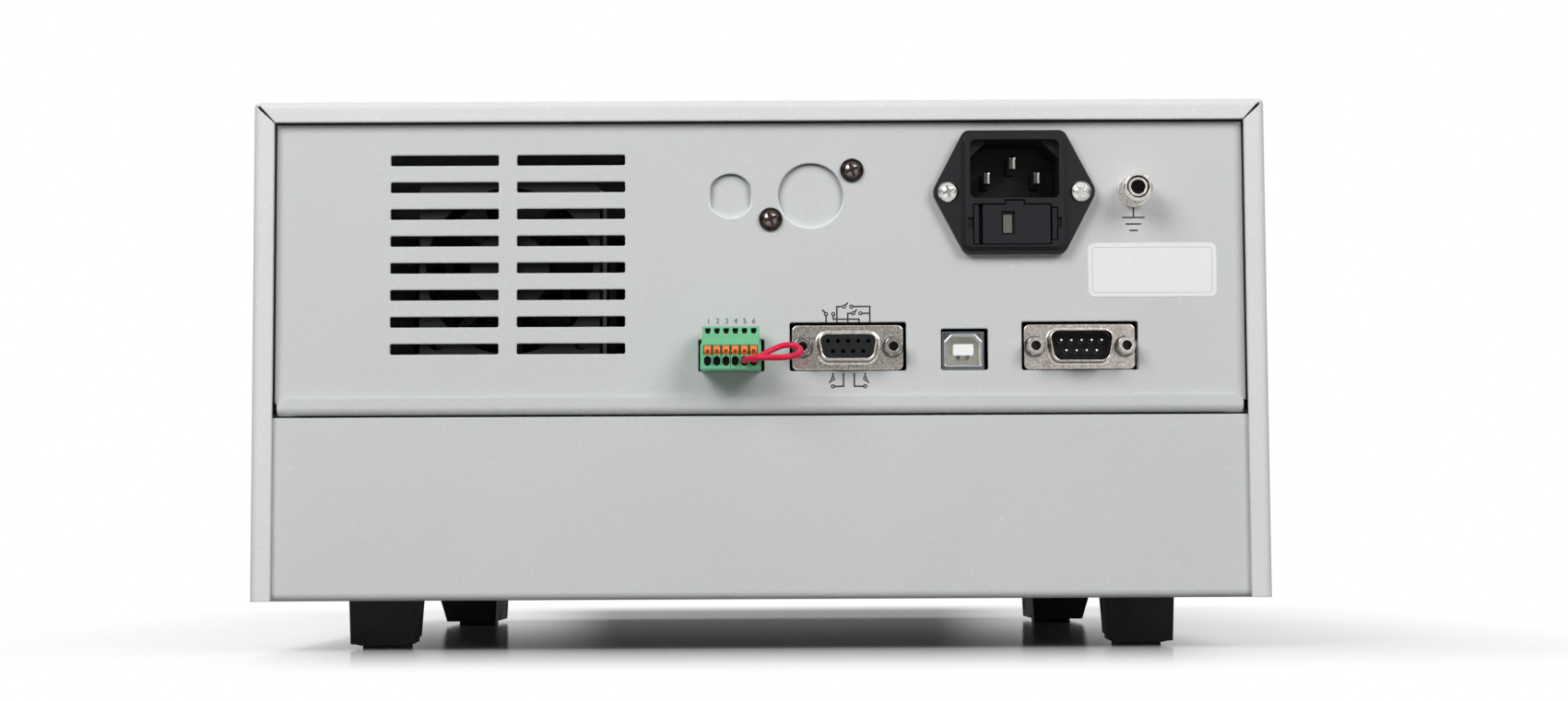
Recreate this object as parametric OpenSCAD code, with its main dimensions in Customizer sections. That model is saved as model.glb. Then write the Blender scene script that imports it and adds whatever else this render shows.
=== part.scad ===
// Bench hipot tester: a folded steel case on four feet. The rear carries a fused mains inlet,
// an earth post, vents and a row of connectors; the front carries a display, keys and output sockets.
// The front faces -Y, the rear faces +Y and the feet stand on Z = 0. All sizes are in millimetres.

/* [Case] */
// Width over the cover
case_w = 280; // [266:1:310]
// Height of the cover
case_h = 138; // [134:1:150]
// Depth from the rear flange to the bezel face
case_d = 350; // [340:1:400]
// Sheet thickness of cover, tray, shelf and rear panel
sheet_t = 1.2; // [1:0.1:1.4]
// Outside radius of the sheet bends
bend_r = 2.2; // [1.8:0.1:2.8]
// Width of the cover's rear flange
flange_w = 5.8; // [5.2:0.1:6.6]
// Width of the open mitre at the flange corners
mitre_w = 0.8; // [0.4:0.1:1]
// Assembly gap between sheet parts
fit_gap = 0.3; // [0.2:0.05:0.4]
// Height of the lower tray
tray_h = 50.9; // [50:0.1:54]
// Gap between the tray's rear wall and the shelf
tray_gap = 0.6; // [0.4:0.1:1.4]
// Height of the shelf's rear lip
lip_h = 4.8; // [4.4:0.1:6]
// Distance from each end of the lip to the side of the cover
lip_inset = 6.9; // [6.7:0.1:8]

/* [Vents and fan] */
// Length of one vent slot
slot_l = 30; // [26:0.5:31]
// Height of one vent slot
slot_h = 3; // [2:0.1:4]
// Distance from one slot row to the next
slot_pitch = 7.5; // [6.5:0.1:7.8]
// Rows of slots
slot_rows = 8; // [5:1:8]
// Gap between the two columns of slots
slot_gap = 5; // [4:0.5:8]
// Middle of the vents, measured to the right of centre as seen from behind
vent_u = -69.8; // [-76:0.1:-66]
// Distance from the top of the case to the first slot row
vent_drop = 16.3; // [15:0.1:20]
// Side of the square fan
fan_s = 50; // [46:1:52]
// Depth of the fan
fan_d = 15; // [10:1:20]

/* [Mains inlet] */
// Middle of the inlet, to the right of centre as seen from behind
inlet_u = 70.4; // [68:0.1:72]
// Distance from the top of the case to the inlet's middle
inlet_drop = 26; // [24:0.1:28]
// Distance between the inlet screws
inlet_span = 36.6; // [36:0.1:38]
// Height of the inlet flange
inlet_h = 34.3; // [33.6:0.1:36]
// Distance between the live and neutral blades
blade_span = 14; // [13:0.1:15]

/* [Output holes and earth post] */
// Middle of the larger blanked hole, to the right of centre
hv_u = 14.1; // [12:0.1:16]
// Diameter of the larger blanked hole
hv_hole_d = 18; // [14:0.1:19]
// Middle of the double-flat hole, to the right of centre
rtn_u = -8.1; // [-10:0.1:-6]
// Diameter of the double-flat hole
rtn_hole_d = 12.3; // [10:0.1:13]
// Width across its flats
rtn_flat = 11.1; // [9:0.1:11.6]
// Distance from the top of the case to both holes
hole_drop = 26.4; // [25:0.1:28]
// Middle of the earth post, to the right of centre
post_u = 103.6; // [101:0.1:106]
// Distance from the top of the case to the post
post_drop = 25.8; // [24:0.1:28]
// Outside diameter of the knurled nut
post_d = 8; // [7.6:0.1:9]
// Bore of the hollow stud
post_bore_d = 4; // [3.8:0.05:4.2]
// Distance from the rear panel to the tip of the post
post_l = 11; // [9:0.1:13]

/* [Connectors] */
// Middle of the female nine-way connector
handler_u = 24.1; // [22:0.1:26]
// Middle of the male nine-way connector
serial_u = 88.2; // [86:0.1:90]
// Middle of the square bus socket
usb_u = 56; // [54:0.1:58]
// Middle of the six-way terminal
term_u = -8; // [-10:0.1:-7]
// Distance between two ways of the terminal
term_pitch = 2.5; // [2.4:0.05:2.6]
// Distance from the terminal's front face to the rear flange
term_reach = 10.5; // [10:0.1:12]
// Travel of one release lever
lever_travel = 1; // [0.6:0.1:1.2]

/* [Feet] */
// Height of the case above the table
foot_h = 14; // [13:0.5:16]
// Thickness of the rubber pads
pad_t = 1.5; // [1:0.1:2]
// Middle of each rear foot, from the middle of the case
rear_foot_x = 107.3; // [102:0.1:112]
// Inner side of each front foot, from the middle of the case
front_foot_x = 98.6; // [96:0.1:101]
// Length of one tilt leg from pivot to tip
leg_l = 25; // [22:0.5:25.5]

/* [Front] */
// Width of the display window
disp_w = 98; // [86:1:100]
// Height of the display window
disp_h = 60; // [50:1:62]
// Diameter of the start and stop buttons
push_d = 20; // [16:0.5:22]
// Travel of the start and stop buttons
push_travel = 2; // [1:0.1:2.2]
// Distance from the bezel face to the tip of the high-voltage socket
hv_reach = 10.8; // [9:0.1:12]
// Bore of the output sockets
jack_bore_d = 4; // [3.8:0.05:4.2]

/* [Hidden] */
$fn = 48;

// Colours
steel = [0.78, 0.80, 0.80];
dark = [0.10, 0.11, 0.12];
nickel = [0.72, 0.71, 0.68];
brass = [0.80, 0.66, 0.36];
green = [0.36, 0.75, 0.52];
orange = [0.93, 0.46, 0.22];
board_green = [0.10, 0.35, 0.20];
white = [0.93, 0.93, 0.90];
red = [0.80, 0.12, 0.14];

// Overlap of cutting tools past a face
eps = 1;
// Gap of a piece that slides in its seat
slide_gap = 0.3;
// Radial gap of a turning piece on its pin
run_gap = 0.08;
// Gap between pieces seated for good
seat_gap = 0.1;

// Heights
z_bot = foot_h;
z_top = foot_h + case_h;
z_mid = (z_bot + z_top) / 2;
z_shelf = foot_h + tray_h;
z_deck = z_shelf + sheet_t;
board_t = 1.6;
standoff_h = 7.3;
z_board = z_deck + standoff_h + board_t;

// Depths: w runs outward from the rear flange, f runs outward from the bezel face
skin_w = -sheet_t - fit_gap;
panel_w = skin_w - sheet_t;
inside_w = panel_w - sheet_t;
bezel_d = 20;
bezel_lip = 6;
cover_l = case_d - bezel_d - fit_gap;
tray_end = -(case_d - bezel_d - bezel_lip);
lever_proud = 0.3;
rear_y = (case_d + hv_reach - term_reach - lever_proud) / 2;
inner_x = case_w / 2 - sheet_t - fit_gap;
rim = 2;

// Rear layout
vent_v = z_top - vent_drop;
vent_mid = vent_v - (slot_rows - 1) * slot_pitch / 2;
fan_v = max(vent_mid - 4.4, z_deck + fan_s / 2 + 8);
inlet_v = z_top - inlet_drop;
hole_v = z_top - hole_drop;
post_v = z_top - post_drop;
dsub_v = z_board + 8.15;
usb_v = z_board + 7.2;

// Front layout
open_x = case_w / 2 - 9;
open_lo = z_bot + 9;
open_hi = z_top - 9;
face_f = -3;
panel_t = 2;
back_f = face_f - panel_t;
overlay_t = 0.6;
skin_f = face_f + overlay_t;
board_f = back_f - 6;
disp_x = -open_x + 12 + disp_w / 2;
disp_z = z_mid + 17;
key_x = disp_x + disp_w / 2 + 15;
key_w = 12;
start_x = open_x - 59;
stop_x = open_x - 25;
push_z = z_mid + 24;
jack_z = z_bot + 40;
hv_x = open_x - 31;
rtn_x = open_x - 73;
switch_x = -open_x + 23;
switch_z = z_bot + 30;
lamp_x = (start_x + stop_x) / 2;
lamp_z = open_hi - 14;
nav_room = start_x - push_d / 2 - key_x - key_w / 2;
nav_w = min(11, (nav_room - 12) / 3);
nav_pitch = nav_w + 4;
nav_x = (key_x + start_x - 6) / 2;

// Frames: u and v as seen from behind with w outward; x and z as seen from the front with f outward
module rear() translate([0, rear_y, 0]) rotate([90, 0, 180]) children();
module front() translate([0, rear_y - case_d, 0]) rotate([90, 0, 0]) children();

// Band drawn tight round circles [x, y, r] listed counter-clockwise; r may be 0 at a sharp corner
function normal_angle(a, b) = atan2(b.y - a.y, b.x - a.x) - acos((a.z - b.z) / norm([b.x - a.x, b.y - a.y]));
function on_rim(c, angle) = [c.x + c.z * cos(angle), c.y + c.z * sin(angle)];
function band_points(list) = [for (i = [0:len(list) - 1])
    let (c = list[i], p = list[(i + len(list) - 1) % len(list)], n = list[(i + 1) % len(list)])
    each (c.z > 0 ? [on_rim(c, normal_angle(p, c)), on_rim(c, normal_angle(c, n))] : [[c.x, c.y]])];
module band(list) {
    polygon(band_points(list));
    for (c = list) if (c.z > 0) translate([c.x, c.y]) circle(r = c.z);
}

// Rectangle with one radius a corner: lower left, lower right, upper right, upper left
module outline(x0, x1, y0, y1, r) band([[x0 + r[0], y0 + r[0], r[0]], [x1 - r[1], y0 + r[1], r[1]],
    [x1 - r[2], y1 - r[2], r[2]], [x0 + r[3], y1 - r[3], r[3]]]);
module rounded(x0, x1, y0, y1, r) outline(x0, x1, y0, y1, [r, r, r, r]);

// Block rounded in all three views
module block3(lo, hi, rxy, rxz, ryz) intersection() {
    translate([0, 0, lo.z])
        linear_extrude(hi.z - lo.z) outline(lo.x, hi.x, lo.y, hi.y, rxy);
    translate([0, hi.y, 0]) rotate([90, 0, 0])
        linear_extrude(hi.y - lo.y) outline(lo.x, hi.x, lo.z, hi.z, rxz);
    translate([lo.x, 0, 0]) rotate([90, 0, 90])
        linear_extrude(hi.x - lo.x) outline(lo.y, hi.y, lo.z, hi.z, ryz);
}

// Box between two corners
module span(lo, hi) translate(lo) cube(hi - lo);

// Plate from z0 to z1 with the outline of the children
module plate(z0, z1) translate([0, 0, z0]) linear_extrude(z1 - z0) children();

// Plain rod along the frame's outward axis
module rod(x, y, z0, z1, r) translate([x, y, z0]) cylinder(r = r, h = z1 - z0);

// Pan-head screw, head on the plane z = 0, with a cross recess
module pan_screw(head_r, head_h, shank_r, shank_l) difference() {
    union() {
        intersection() {
            cylinder(r = head_r, h = head_h);
            translate([0, 0, head_h - head_r * 1.25]) sphere(r = head_r * 1.25);
        }
        rod(0, 0, -shank_l, 0.2, shank_r);
    }
    for (a = [0, 90]) rotate([0, 0, a])
        span([-head_r * 0.58, -head_r * 0.14, head_h * 0.4], [head_r * 0.58, head_r * 0.14, head_h + eps]);
    intersection() {
        span([-head_r, -head_r, head_h * 0.55], [head_r, head_r, head_h + eps]);
        rotate([0, 0, 45])
            span([-head_r * 0.28, -head_r * 0.28, 0], [head_r * 0.28, head_r * 0.28, head_h + eps]);
    }
}

// Case

cover_screw_y = [-40, -(case_d - 20) / 2, -(case_d - 60)];
cover_screw_z = z_bot + 22;
side_slots = 9;

module cover_shell(inset, low, near) block3(
    [-case_w / 2 + inset, z_bot - low, -cover_l - near], [case_w / 2 - inset, z_top - inset, -inset],
    [0, 0, bend_r - inset, bend_r - inset], [0, 0, bend_r - inset, bend_r - inset],
    [0, 0, bend_r - inset, 0]);

module top_cover() color(steel) rear() difference() {
    cover_shell(0, 0, 0);
    cover_shell(sheet_t, eps, eps);
    span([-case_w / 2 + flange_w, z_bot - eps, -5], [case_w / 2 - flange_w, z_top - flange_w, eps]);
    for (s = [-1, 1]) {
        plate(-sheet_t - 0.4, eps) band([
            [s * (case_w / 2 - flange_w), z_top - flange_w, mitre_w / 6],
            [s * (case_w / 2 - 1.6), z_top - 1.6, mitre_w / 2]]);
        for (w = cover_screw_y) translate([s * case_w / 2, cover_screw_z, w]) rotate([0, 90, 0])
            cylinder(r = 1.7, h = 10, center = true);
        for (i = [0:side_slots - 1]) translate([s * case_w / 2, z_mid + 6, -185 - i * 9]) rotate([0, 90, 0])
            translate([0, 0, -5]) linear_extrude(10) band([[0, -15, 1.6], [0, 15, 1.6]]);
    }
}

module cover_screws() color(nickel) rear() for (s = [-1, 1], w = cover_screw_y)
    translate([s * case_w / 2, cover_screw_z, w]) rotate([0, s * 90, 0]) pan_screw(3, rim, 1.5, 7);

tray_flange = 10;
floor_slots = 8;

module base_tray() color(steel) rear() difference() {
    block3([-inner_x, z_bot, tray_end], [inner_x, z_shelf, skin_w],
        [bend_r, bend_r, 0, 0], [0, 0, 0, 0], [0, 0, 0, bend_r]);
    block3([-inner_x + sheet_t, z_bot + sheet_t, tray_end + sheet_t],
        [inner_x - sheet_t, z_shelf - sheet_t, skin_w - sheet_t],
        [bend_r - sheet_t, bend_r - sheet_t, 0, 0], [0, 0, 0, 0], [0, 0, 0, bend_r - sheet_t]);
    span([-inner_x + tray_flange, z_shelf - 2 * sheet_t, tray_end + tray_flange],
        [inner_x - tray_flange, z_shelf + eps, skin_w - sheet_t]);
    span([-inner_x - eps, z_shelf - tray_gap, skin_w - 8], [inner_x + eps, z_shelf + eps, skin_w + eps]);
    for (s = [-1, 1], w = cover_screw_y) translate([s * inner_x, cover_screw_z, w]) rotate([0, 90, 0])
        cylinder(r = 1.7, h = 8, center = true);
    for (i = [0:floor_slots - 1], s = [-1, 1]) translate([s * 42, 0, -130 - i * 9])
        rotate([90, 0, 0]) translate([0, 0, -z_bot - 5])
            linear_extrude(10) band([[-15, 0, 1.6], [15, 0, 1.6]]);
}

board_x = [-32, case_w / 2 - 24];
board_d = 95;
standoffs = [for (x = [board_x[0] + 6, board_x[1] - 6], w = [-14, 7 - board_d]) [x, w]];

module chassis_shelf() color(steel) rear() {
    lip_x = case_w / 2 - lip_inset;
    difference() {
        union() {
            span([-inner_x + 0.2, z_shelf, tray_end + 2], [inner_x - 0.2, z_deck, skin_w - 9]);
            intersection() {
                translate([-lip_x, 0, 0]) rotate([90, 0, 90]) linear_extrude(2 * lip_x) difference() {
                    outline(z_shelf, z_shelf + lip_h, skin_w - 10, skin_w, [0, 0, 0, bend_r]);
                    outline(z_deck, z_shelf + lip_h + eps, skin_w - 10 - eps, skin_w - sheet_t,
                        [0, 0, 0, bend_r - sheet_t]);
                }
                plate(skin_w - 11, skin_w + eps)
                    outline(-lip_x, lip_x, z_shelf - eps, z_shelf + lip_h, [0, 0, 1.8, 1.8]);
            }
        }
        span([-90, z_shelf - eps, -240], [-30, z_deck + eps, -190]);
    }
    for (p = standoffs) translate([p[0], z_deck - 0.2, p[1]]) rotate([-90, 0, 0])
        cylinder(r = 2.75, h = standoff_h + 0.2);
}

// Rear panel and what is screwed to it

plate_screws = [[hv_u - 11.1, hole_v - 6.7], [hv_u + 11.5, hole_v + 6.9]];
post_stem_r = 2.6;
screw_hole_r = 1.7;
inlet_body_x = 13.6;
inlet_body_y = 15.4;
dsub_cut = [32.2, 13.5];
usb_cut = [13, 11.5];
term_cut = [7 * term_pitch + 0.7, 9];

// The panel's lower edge stays above the inner bend of the shelf's lip
panel_foot = z_deck + bend_r - sheet_t;

module rear_panel() color(steel) rear() difference() {
    plate(inside_w, panel_w)
        outline(-inner_x, inner_x, panel_foot, z_top - sheet_t - fit_gap, [0, 0, 1.5, 1.5]);
    for (s = [-1, 1]) translate([s * (inner_x + 1), 0, 0])
        span([-7, z_deck - eps, inside_w - eps], [7, z_deck + 2.2, panel_w + eps]);
    for (i = [0:slot_rows - 1], s = [-1, 1]) plate(inside_w - eps, panel_w + eps)
        translate([vent_u + s * (slot_l + slot_gap) / 2, vent_v - i * slot_pitch])
            rounded(-slot_l / 2, slot_l / 2, -slot_h / 2, slot_h / 2, 0.5);
    rod(hv_u, hole_v, inside_w - eps, panel_w + eps, hv_hole_d / 2);
    intersection() {
        rod(rtn_u, hole_v, inside_w - eps, panel_w + eps, rtn_hole_d / 2);
        translate([rtn_u, hole_v, 0]) span([-rtn_flat / 2, -20, -20], [rtn_flat / 2, 20, 20]);
    }
    for (p = plate_screws) rod(p[0], p[1], inside_w - eps, panel_w + eps, screw_hole_r);
    plate(inside_w - eps, panel_w + eps) translate([inlet_u, inlet_v]) {
        gap = seat_gap;
        rounded(-inlet_body_x - gap, inlet_body_x + gap, -inlet_body_y - gap, inlet_body_y + gap, 1.5);
        for (s = [-1, 1]) translate([s * inlet_span / 2, 0]) circle(r = screw_hole_r);
    }
    rod(post_u, post_v, inside_w - eps, panel_w + eps, post_stem_r + seat_gap);
    plate(inside_w - eps, panel_w + eps) {
        for (u = [handler_u, serial_u]) translate([u + 0.1, dsub_v + 0.3])
            rounded(-dsub_cut.x / 2, dsub_cut.x / 2, -dsub_cut.y / 2, dsub_cut.y / 2, 0.6);
        translate([usb_u + 0.4, usb_v + 0.35])
            rounded(-usb_cut.x / 2, usb_cut.x / 2, -usb_cut.y / 2, usb_cut.y / 2, 0.6);
        translate([term_u, z_board + 6.1])
            rounded(-term_cut.x / 2, term_cut.x / 2, -term_cut.y / 2, term_cut.y / 2, 0.6);
    }
}

module blanking_plate() color(steel) rear() difference() {
    plate(inside_w - sheet_t, inside_w)
        rounded(rtn_u - 10, hv_u + 16, hole_v - 12, hole_v + 12, 2);
    for (p = plate_screws) rod(p[0], p[1], inside_w - 10, panel_w + eps, screw_hole_r);
}

module panel_screws() color(dark) rear() for (p = plate_screws)
    translate([p[0], p[1], panel_w]) rotate([0, 0, 20]) pan_screw(3.25, 2.3, 1.5, 6);

// Mains inlet: u, v measured from the inlet's middle

inlet_rim = panel_w + 4.2;
inlet_step = panel_w + 2.8;
inlet_back = inside_w - 24;
cavity = [-12.3, 12.3, -1.9, 14.4];
blade_v = (cavity[2] + cavity[3]) / 2;
contacts = [[-blade_span / 2, blade_v - 1.4, 9], [blade_span / 2, blade_v - 1.4, 9],
    [0, blade_v + 2.6, 7]];
drawer = [-10.1, 9.8, -14.6, -3.75];
drawer_face = inlet_rim - 0.3;
arm_w = 1.3;
arm_slit = 0.5;
arm_v = [drawer[2] + 1.2, drawer[3] - 1];
arm_root = inlet_rim - 12;
// Wide slit beside the left arm, cut back from the drawer's face
slit_w = 1.1;
slit_d = 4.4;
face_u = drawer[0] + 1.2;
left_arm = face_u - slit_w - arm_w;
window = [-3.8, 0, -12.1, -5.5];
card = [window[0] + 0.6, window[1] - 0.8, window[2] + 0.6, window[3] - 1];

module inlet() rear() translate([inlet_u, inlet_v, 0]) children();

module inlet_housing() color(dark) inlet() difference() {
    union() {
        plate(panel_w, inlet_step) band([
            [-12.4, -inlet_h / 2 + 2.4, 2.4], [12.4, -inlet_h / 2 + 2.4, 2.4], [inlet_span / 2, 0, 4],
            [12.4, inlet_h / 2 - 2.4, 2.4], [-12.4, inlet_h / 2 - 2.4, 2.4], [-inlet_span / 2, 0, 4]]);
        plate(inlet_step - 0.2, inlet_rim - 0.6) rounded(-14.2, 14.2, -16, 16, 2);
        plate(inlet_rim - 0.7, inlet_rim) rounded(-13.7, 13.7, -15.5, 15.5, 1.6);
        plate(inlet_back, panel_w + 0.2)
            rounded(-inlet_body_x, inlet_body_x, -inlet_body_y, inlet_body_y, 1.4);
    }
    plate(inlet_rim - 3.2, inlet_rim + eps)
        outline(cavity[0], cavity[1], cavity[2], cavity[3], [1.6, 1.6, 1.6, 1.6]);
    plate(inlet_rim - 20, inlet_rim - 3) band([
        [cavity[0] + 1.6, cavity[2] + 1.6, 1.6], [cavity[1] - 1.6, cavity[2] + 1.6, 1.6],
        [cavity[1] - 0.5, cavity[3] - 5, 0.5], [cavity[1] - 5, cavity[3] - 0.5, 0.5],
        [cavity[0] + 5, cavity[3] - 0.5, 0.5], [cavity[0] + 0.5, cavity[3] - 5, 0.5]]);
    plate(inlet_back + 2, inlet_rim + eps) rounded(left_arm - slide_gap, drawer[1] + slide_gap,
        drawer[2] - slide_gap, drawer[3] + slide_gap, 0.4);
    span([drawer[1], arm_v[0] - slide_gap, arm_root - slide_gap],
        [drawer[1] + arm_slit + arm_w + slide_gap, arm_v[1] + slide_gap, inlet_rim + eps]);
    plate(inlet_rim - 1.6, inlet_rim + eps) rounded(-2.8, 2.8, drawer[3] - eps, cavity[2] - 0.4, 0.3);
    for (s = [-1, 1]) {
        rod(s * inlet_span / 2, 0, panel_w - eps, inlet_rim + eps, screw_hole_r);
        span([s * 12.2 - 0.7, -10.4, inlet_rim - 1.2], [s * 12.2 + 0.7, -7.3, inlet_rim + eps]);
    }
    for (p = contacts)
        span([p[0] - 1.1, p[1] - 2.1, inlet_back - eps], [p[0] + 1.1, p[1] + 2.1, inlet_rim - 19]);
}

module inlet_pins() color(nickel) inlet() for (p = contacts)
    block3([p[0] - 1, p[1] - 2, inlet_back - 5], [p[0] + 1, p[1] + 2, inlet_rim - p[2]],
        [0.3, 0.3, 0.3, 0.3], [0, 0, 0.4, 0.4], [0, 0, 0.8, 0.8]);

module inlet_screws() color(nickel) inlet() for (s = [-1, 1])
    translate([s * inlet_span / 2, 0, inlet_step]) rotate([0, 0, 30 + s * 12]) pan_screw(2.9, 1.9, 1.45, 9);

module fuse_drawer() color(dark) inlet() difference() {
    union() {
        plate(inlet_back + 3, drawer_face - slit_d) rounded(drawer[0], drawer[1], drawer[2], drawer[3], 0.4);
        plate(drawer_face - slit_d - 0.2, drawer_face) rounded(face_u, drawer[1], drawer[2], drawer[3], 0.4);
        plate(inlet_rim - 1.4, drawer_face) rounded(-2.4, 2.4, drawer[3] - 1, cavity[2] - 0.8, 0.3);
        span([left_arm, drawer[2], arm_root], [drawer[0] + 0.4, drawer[3], drawer_face - slit_d]);
        span([left_arm, drawer[2], drawer_face - slit_d - 0.2], [left_arm + arm_w, drawer[3], drawer_face]);
        span([drawer[1] + arm_slit, arm_v[0], arm_root],
            [drawer[1] + arm_slit + arm_w, arm_v[1], drawer_face]);
        span([drawer[1] - 1, arm_v[0], arm_root], [drawer[1] + arm_slit + 0.2, arm_v[1], arm_root + 3]);
    }
    plate(inlet_rim - 1.6, inlet_rim + eps) rounded(window[0], window[1], window[2], window[3], 0.3);
    for (i = [0, 1]) translate([0, 0, inlet_rim - 7.6 - i * 6.2])
        span([drawer[0] + 0.5, drawer[2] + 2.4, -2.7], [drawer[1] - 0.5, drawer[3] + eps, 2.7]);
}

module fuses() color(nickel) inlet() for (i = [0, 1])
    translate([-0.15, drawer[2] + 5, inlet_rim - 7.6 - i * 6.2]) rotate([0, 90, 0]) {
        cylinder(r = 2.3, h = 18, center = true);
        for (s = [-1, 1]) translate([0, 0, s * 6.6]) cylinder(r = 2.6, h = 5, center = true);
    }

module voltage_card() color(white) inlet() plate(inlet_rim - 1.6, inlet_rim - 1)
    rounded(card[0], card[1], card[2], card[3], 0.2);

// Earth post

post_tip = panel_w + post_l;
collar_h = 1.4;
countersink = 1.4;
knurls = 26;

module post() rear() translate([post_u, post_v, 0]) children();

module ground_stud() color(nickel) post() difference() {
    union() {
        rod(0, 0, panel_w, panel_w + collar_h, post_d / 2 + 0.4);
        rod(0, 0, inside_w - 9, post_tip - 0.5, post_stem_r);
        translate([0, 0, inside_w - 3]) cylinder(r = 4.6, h = 3, $fn = 6);
    }
    rod(0, 0, panel_w + 0.6, post_tip + eps, post_bore_d / 2);
}

module ground_nut() color(nickel) post() difference() {
    union() {
        rod(0, 0, panel_w + collar_h + slide_gap, post_tip - 0.4, post_d / 2);
        translate([0, 0, post_tip - 0.4]) cylinder(r1 = post_d / 2, r2 = post_d / 2 - 0.4, h = 0.4);
    }
    rod(0, 0, panel_w, post_tip + eps, post_stem_r + run_gap);
    translate([0, 0, post_tip - countersink])
        cylinder(r1 = post_stem_r + run_gap, r2 = post_stem_r + 0.5, h = countersink + 0.01);
    for (i = [0:knurls - 1]) rotate([0, 0, i * 360 / knurls]) translate([post_d / 2, 0, 0]) rotate([0, 0, 45])
        span([-0.28, -0.28, panel_w], [0.28, 0.28, post_tip - 3]);
}

// Nine-way connectors: u, v measured from the connector's middle

dsub_flange = [30.8, 12.5];
jack_span = 24.99;
pin_pitch = 2.77;
row_gap = 2.84;
flange_t = 0.8;
shell_h = 5.9;
female_d = [16.3, 7.9];
female_t = 0.75;
male_d = [17.4, 8.8];
male_t = 0.4;
// Layers of the shell: growth of the outline and the height where the layer ends
flare = [[0.8, 0.3], [0.45, 0.7], [0.15, 1.2], [0, shell_h]];
dsub_f = panel_w;
insert_back = -11;
insert_x = dsub_flange.x / 2 - 0.5;

module dsub(u) rear() translate([u, dsub_v, dsub_f]) children();

// D outline of the given width and height, grown by g, wide side up
module d_outline(size, g) {
    r = 2.5 + g;
    x = size.x / 2 + g;
    y = size.y / 2 + g;
    slope = (size.y - 5) * tan(10);
    corners = [[-x + r + slope, -y + r], [x - r - slope, -y + r], [x - r, y - r], [-x + r, y - r]];
    // the corner arcs stand a hair past the straight sides, so that each side meets its arc at a clear angle
    polygon(band_points([for (c = corners) [c.x, c.y, r - 0.01]]));
    for (c = corners) translate(c) circle(r = r);
}

module dsub_holes(r) for (i = [0:8])
    translate([(i < 5 ? i - 2 : i - 6.5) * pin_pitch, (i < 5 ? 1 : -1) * row_gap / 2])
        circle(r = r, $fn = 24);

module dsub_shell(size, wall) {
    plate(-flange_t, 0) difference() {
        rounded(-dsub_flange.x / 2, dsub_flange.x / 2, -dsub_flange.y / 2, dsub_flange.y / 2, 1.6);
        d_outline(size, -wall);
        for (s = [-1, 1]) translate([s * jack_span / 2, 0]) circle(r = 1.6);
    }
    for (i = [0:len(flare) - 1]) plate(i == 0 ? 0 : flare[i - 1][1], flare[i][1]) difference() {
        d_outline(size, flare[i][0]);
        d_outline(size, -wall);
    }
}

module dsub_insert(size, wall, face) difference() {
    union() {
        span([-insert_x, z_board - dsub_v, insert_back], [insert_x, 4.6, -sheet_t - seat_gap]);
        span([-insert_x, -5.6, -sheet_t - 1], [insert_x, 4.6, -flange_t]);
        plate(-flange_t - 0.2, face) d_outline(size, -wall - 0.05);
    }
    for (s = [-1, 1]) rod(s * jack_span / 2, 0, -7, 1, 1.6);
    plate(face - 4, face + eps) dsub_holes(0.55);
}

module handler_shell() color(nickel) dsub(handler_u) dsub_shell(female_d, female_t);
module handler_insert() color(dark) dsub(handler_u) dsub_insert(female_d, female_t, shell_h - 0.25);
module serial_shell() color(nickel) dsub(serial_u) dsub_shell(male_d, male_t);
module serial_insert() color(dark) dsub(serial_u) dsub_insert(male_d, male_t, 0.8);

module serial_pins() color(brass) dsub(serial_u) for (i = [0:8])
    translate([(i < 5 ? i - 2 : i - 6.5) * pin_pitch, (i < 5 ? 1 : -1) * row_gap / 2, 0]) {
        rod(0, 0, -2.8, shell_h - 1.2, 0.5);
        translate([0, 0, shell_h - 1.2]) sphere(r = 0.5);
    }

module jack_posts() color(nickel) for (u = [handler_u, serial_u]) dsub(u) for (s = [-1, 1])
    translate([s * jack_span / 2, 0, 0]) difference() {
        union() {
            intersection() {
                rotate([0, 0, 15]) cylinder(r = 2.75, h = 5, $fn = 6);
                translate([0, 0, -0.1]) cylinder(r1 = 7.5, r2 = 2.3, h = 5.2);
            }
            rod(0, 0, -5, 0.2, 1.45);
        }
        rod(0, 0, 0.6, 6, 1.35);
    }

// Square bus socket: u, v measured from the socket's middle

usb_w = 11.8;
usb_h = 10.6;
usb_f = panel_w + 0.2;
usb_l = 16;

module usb() rear() translate([usb_u, usb_v, usb_f]) children();
module usb_opening(g) band([[-4.5 - g, -3.6 - g, 0.5], [4.5 + g, -3.6 - g, 0.5], [4.5 + g, 2.1 + g, 0.4],
    [2.9 + g, 3.8 + g, 0.4], [-2.9 - g, 3.8 + g, 0.4], [-4.5 - g, 2.1 + g, 0.4]]);

module usb_shell() color(nickel) usb() difference() {
    union() {
        plate(-usb_l, -sheet_t - 0.2 - seat_gap)
            rounded(-usb_w / 2, usb_w / 2, z_board - usb_v, usb_h / 2, 0.4);
        plate(-usb_l, -0.5) rounded(-usb_w / 2, usb_w / 2, -usb_h / 2, usb_h / 2, 0.4);
        plate(-0.6, 0) rounded(-usb_w / 2 + 0.25, usb_w / 2 - 0.25, -usb_h / 2 + 0.25, usb_h / 2 - 0.25, 0.4);
        plate(-0.6, 0.35) usb_opening(0.25);
    }
    plate(-usb_l + 4, eps) usb_opening(-0.2);
    for (s = [-1, 1]) span([s * 1.6 - 0.6, usb_h / 2 - 1.2, -12], [s * 1.6 + 0.6, usb_h / 2 + eps, -7]);
}

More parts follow.
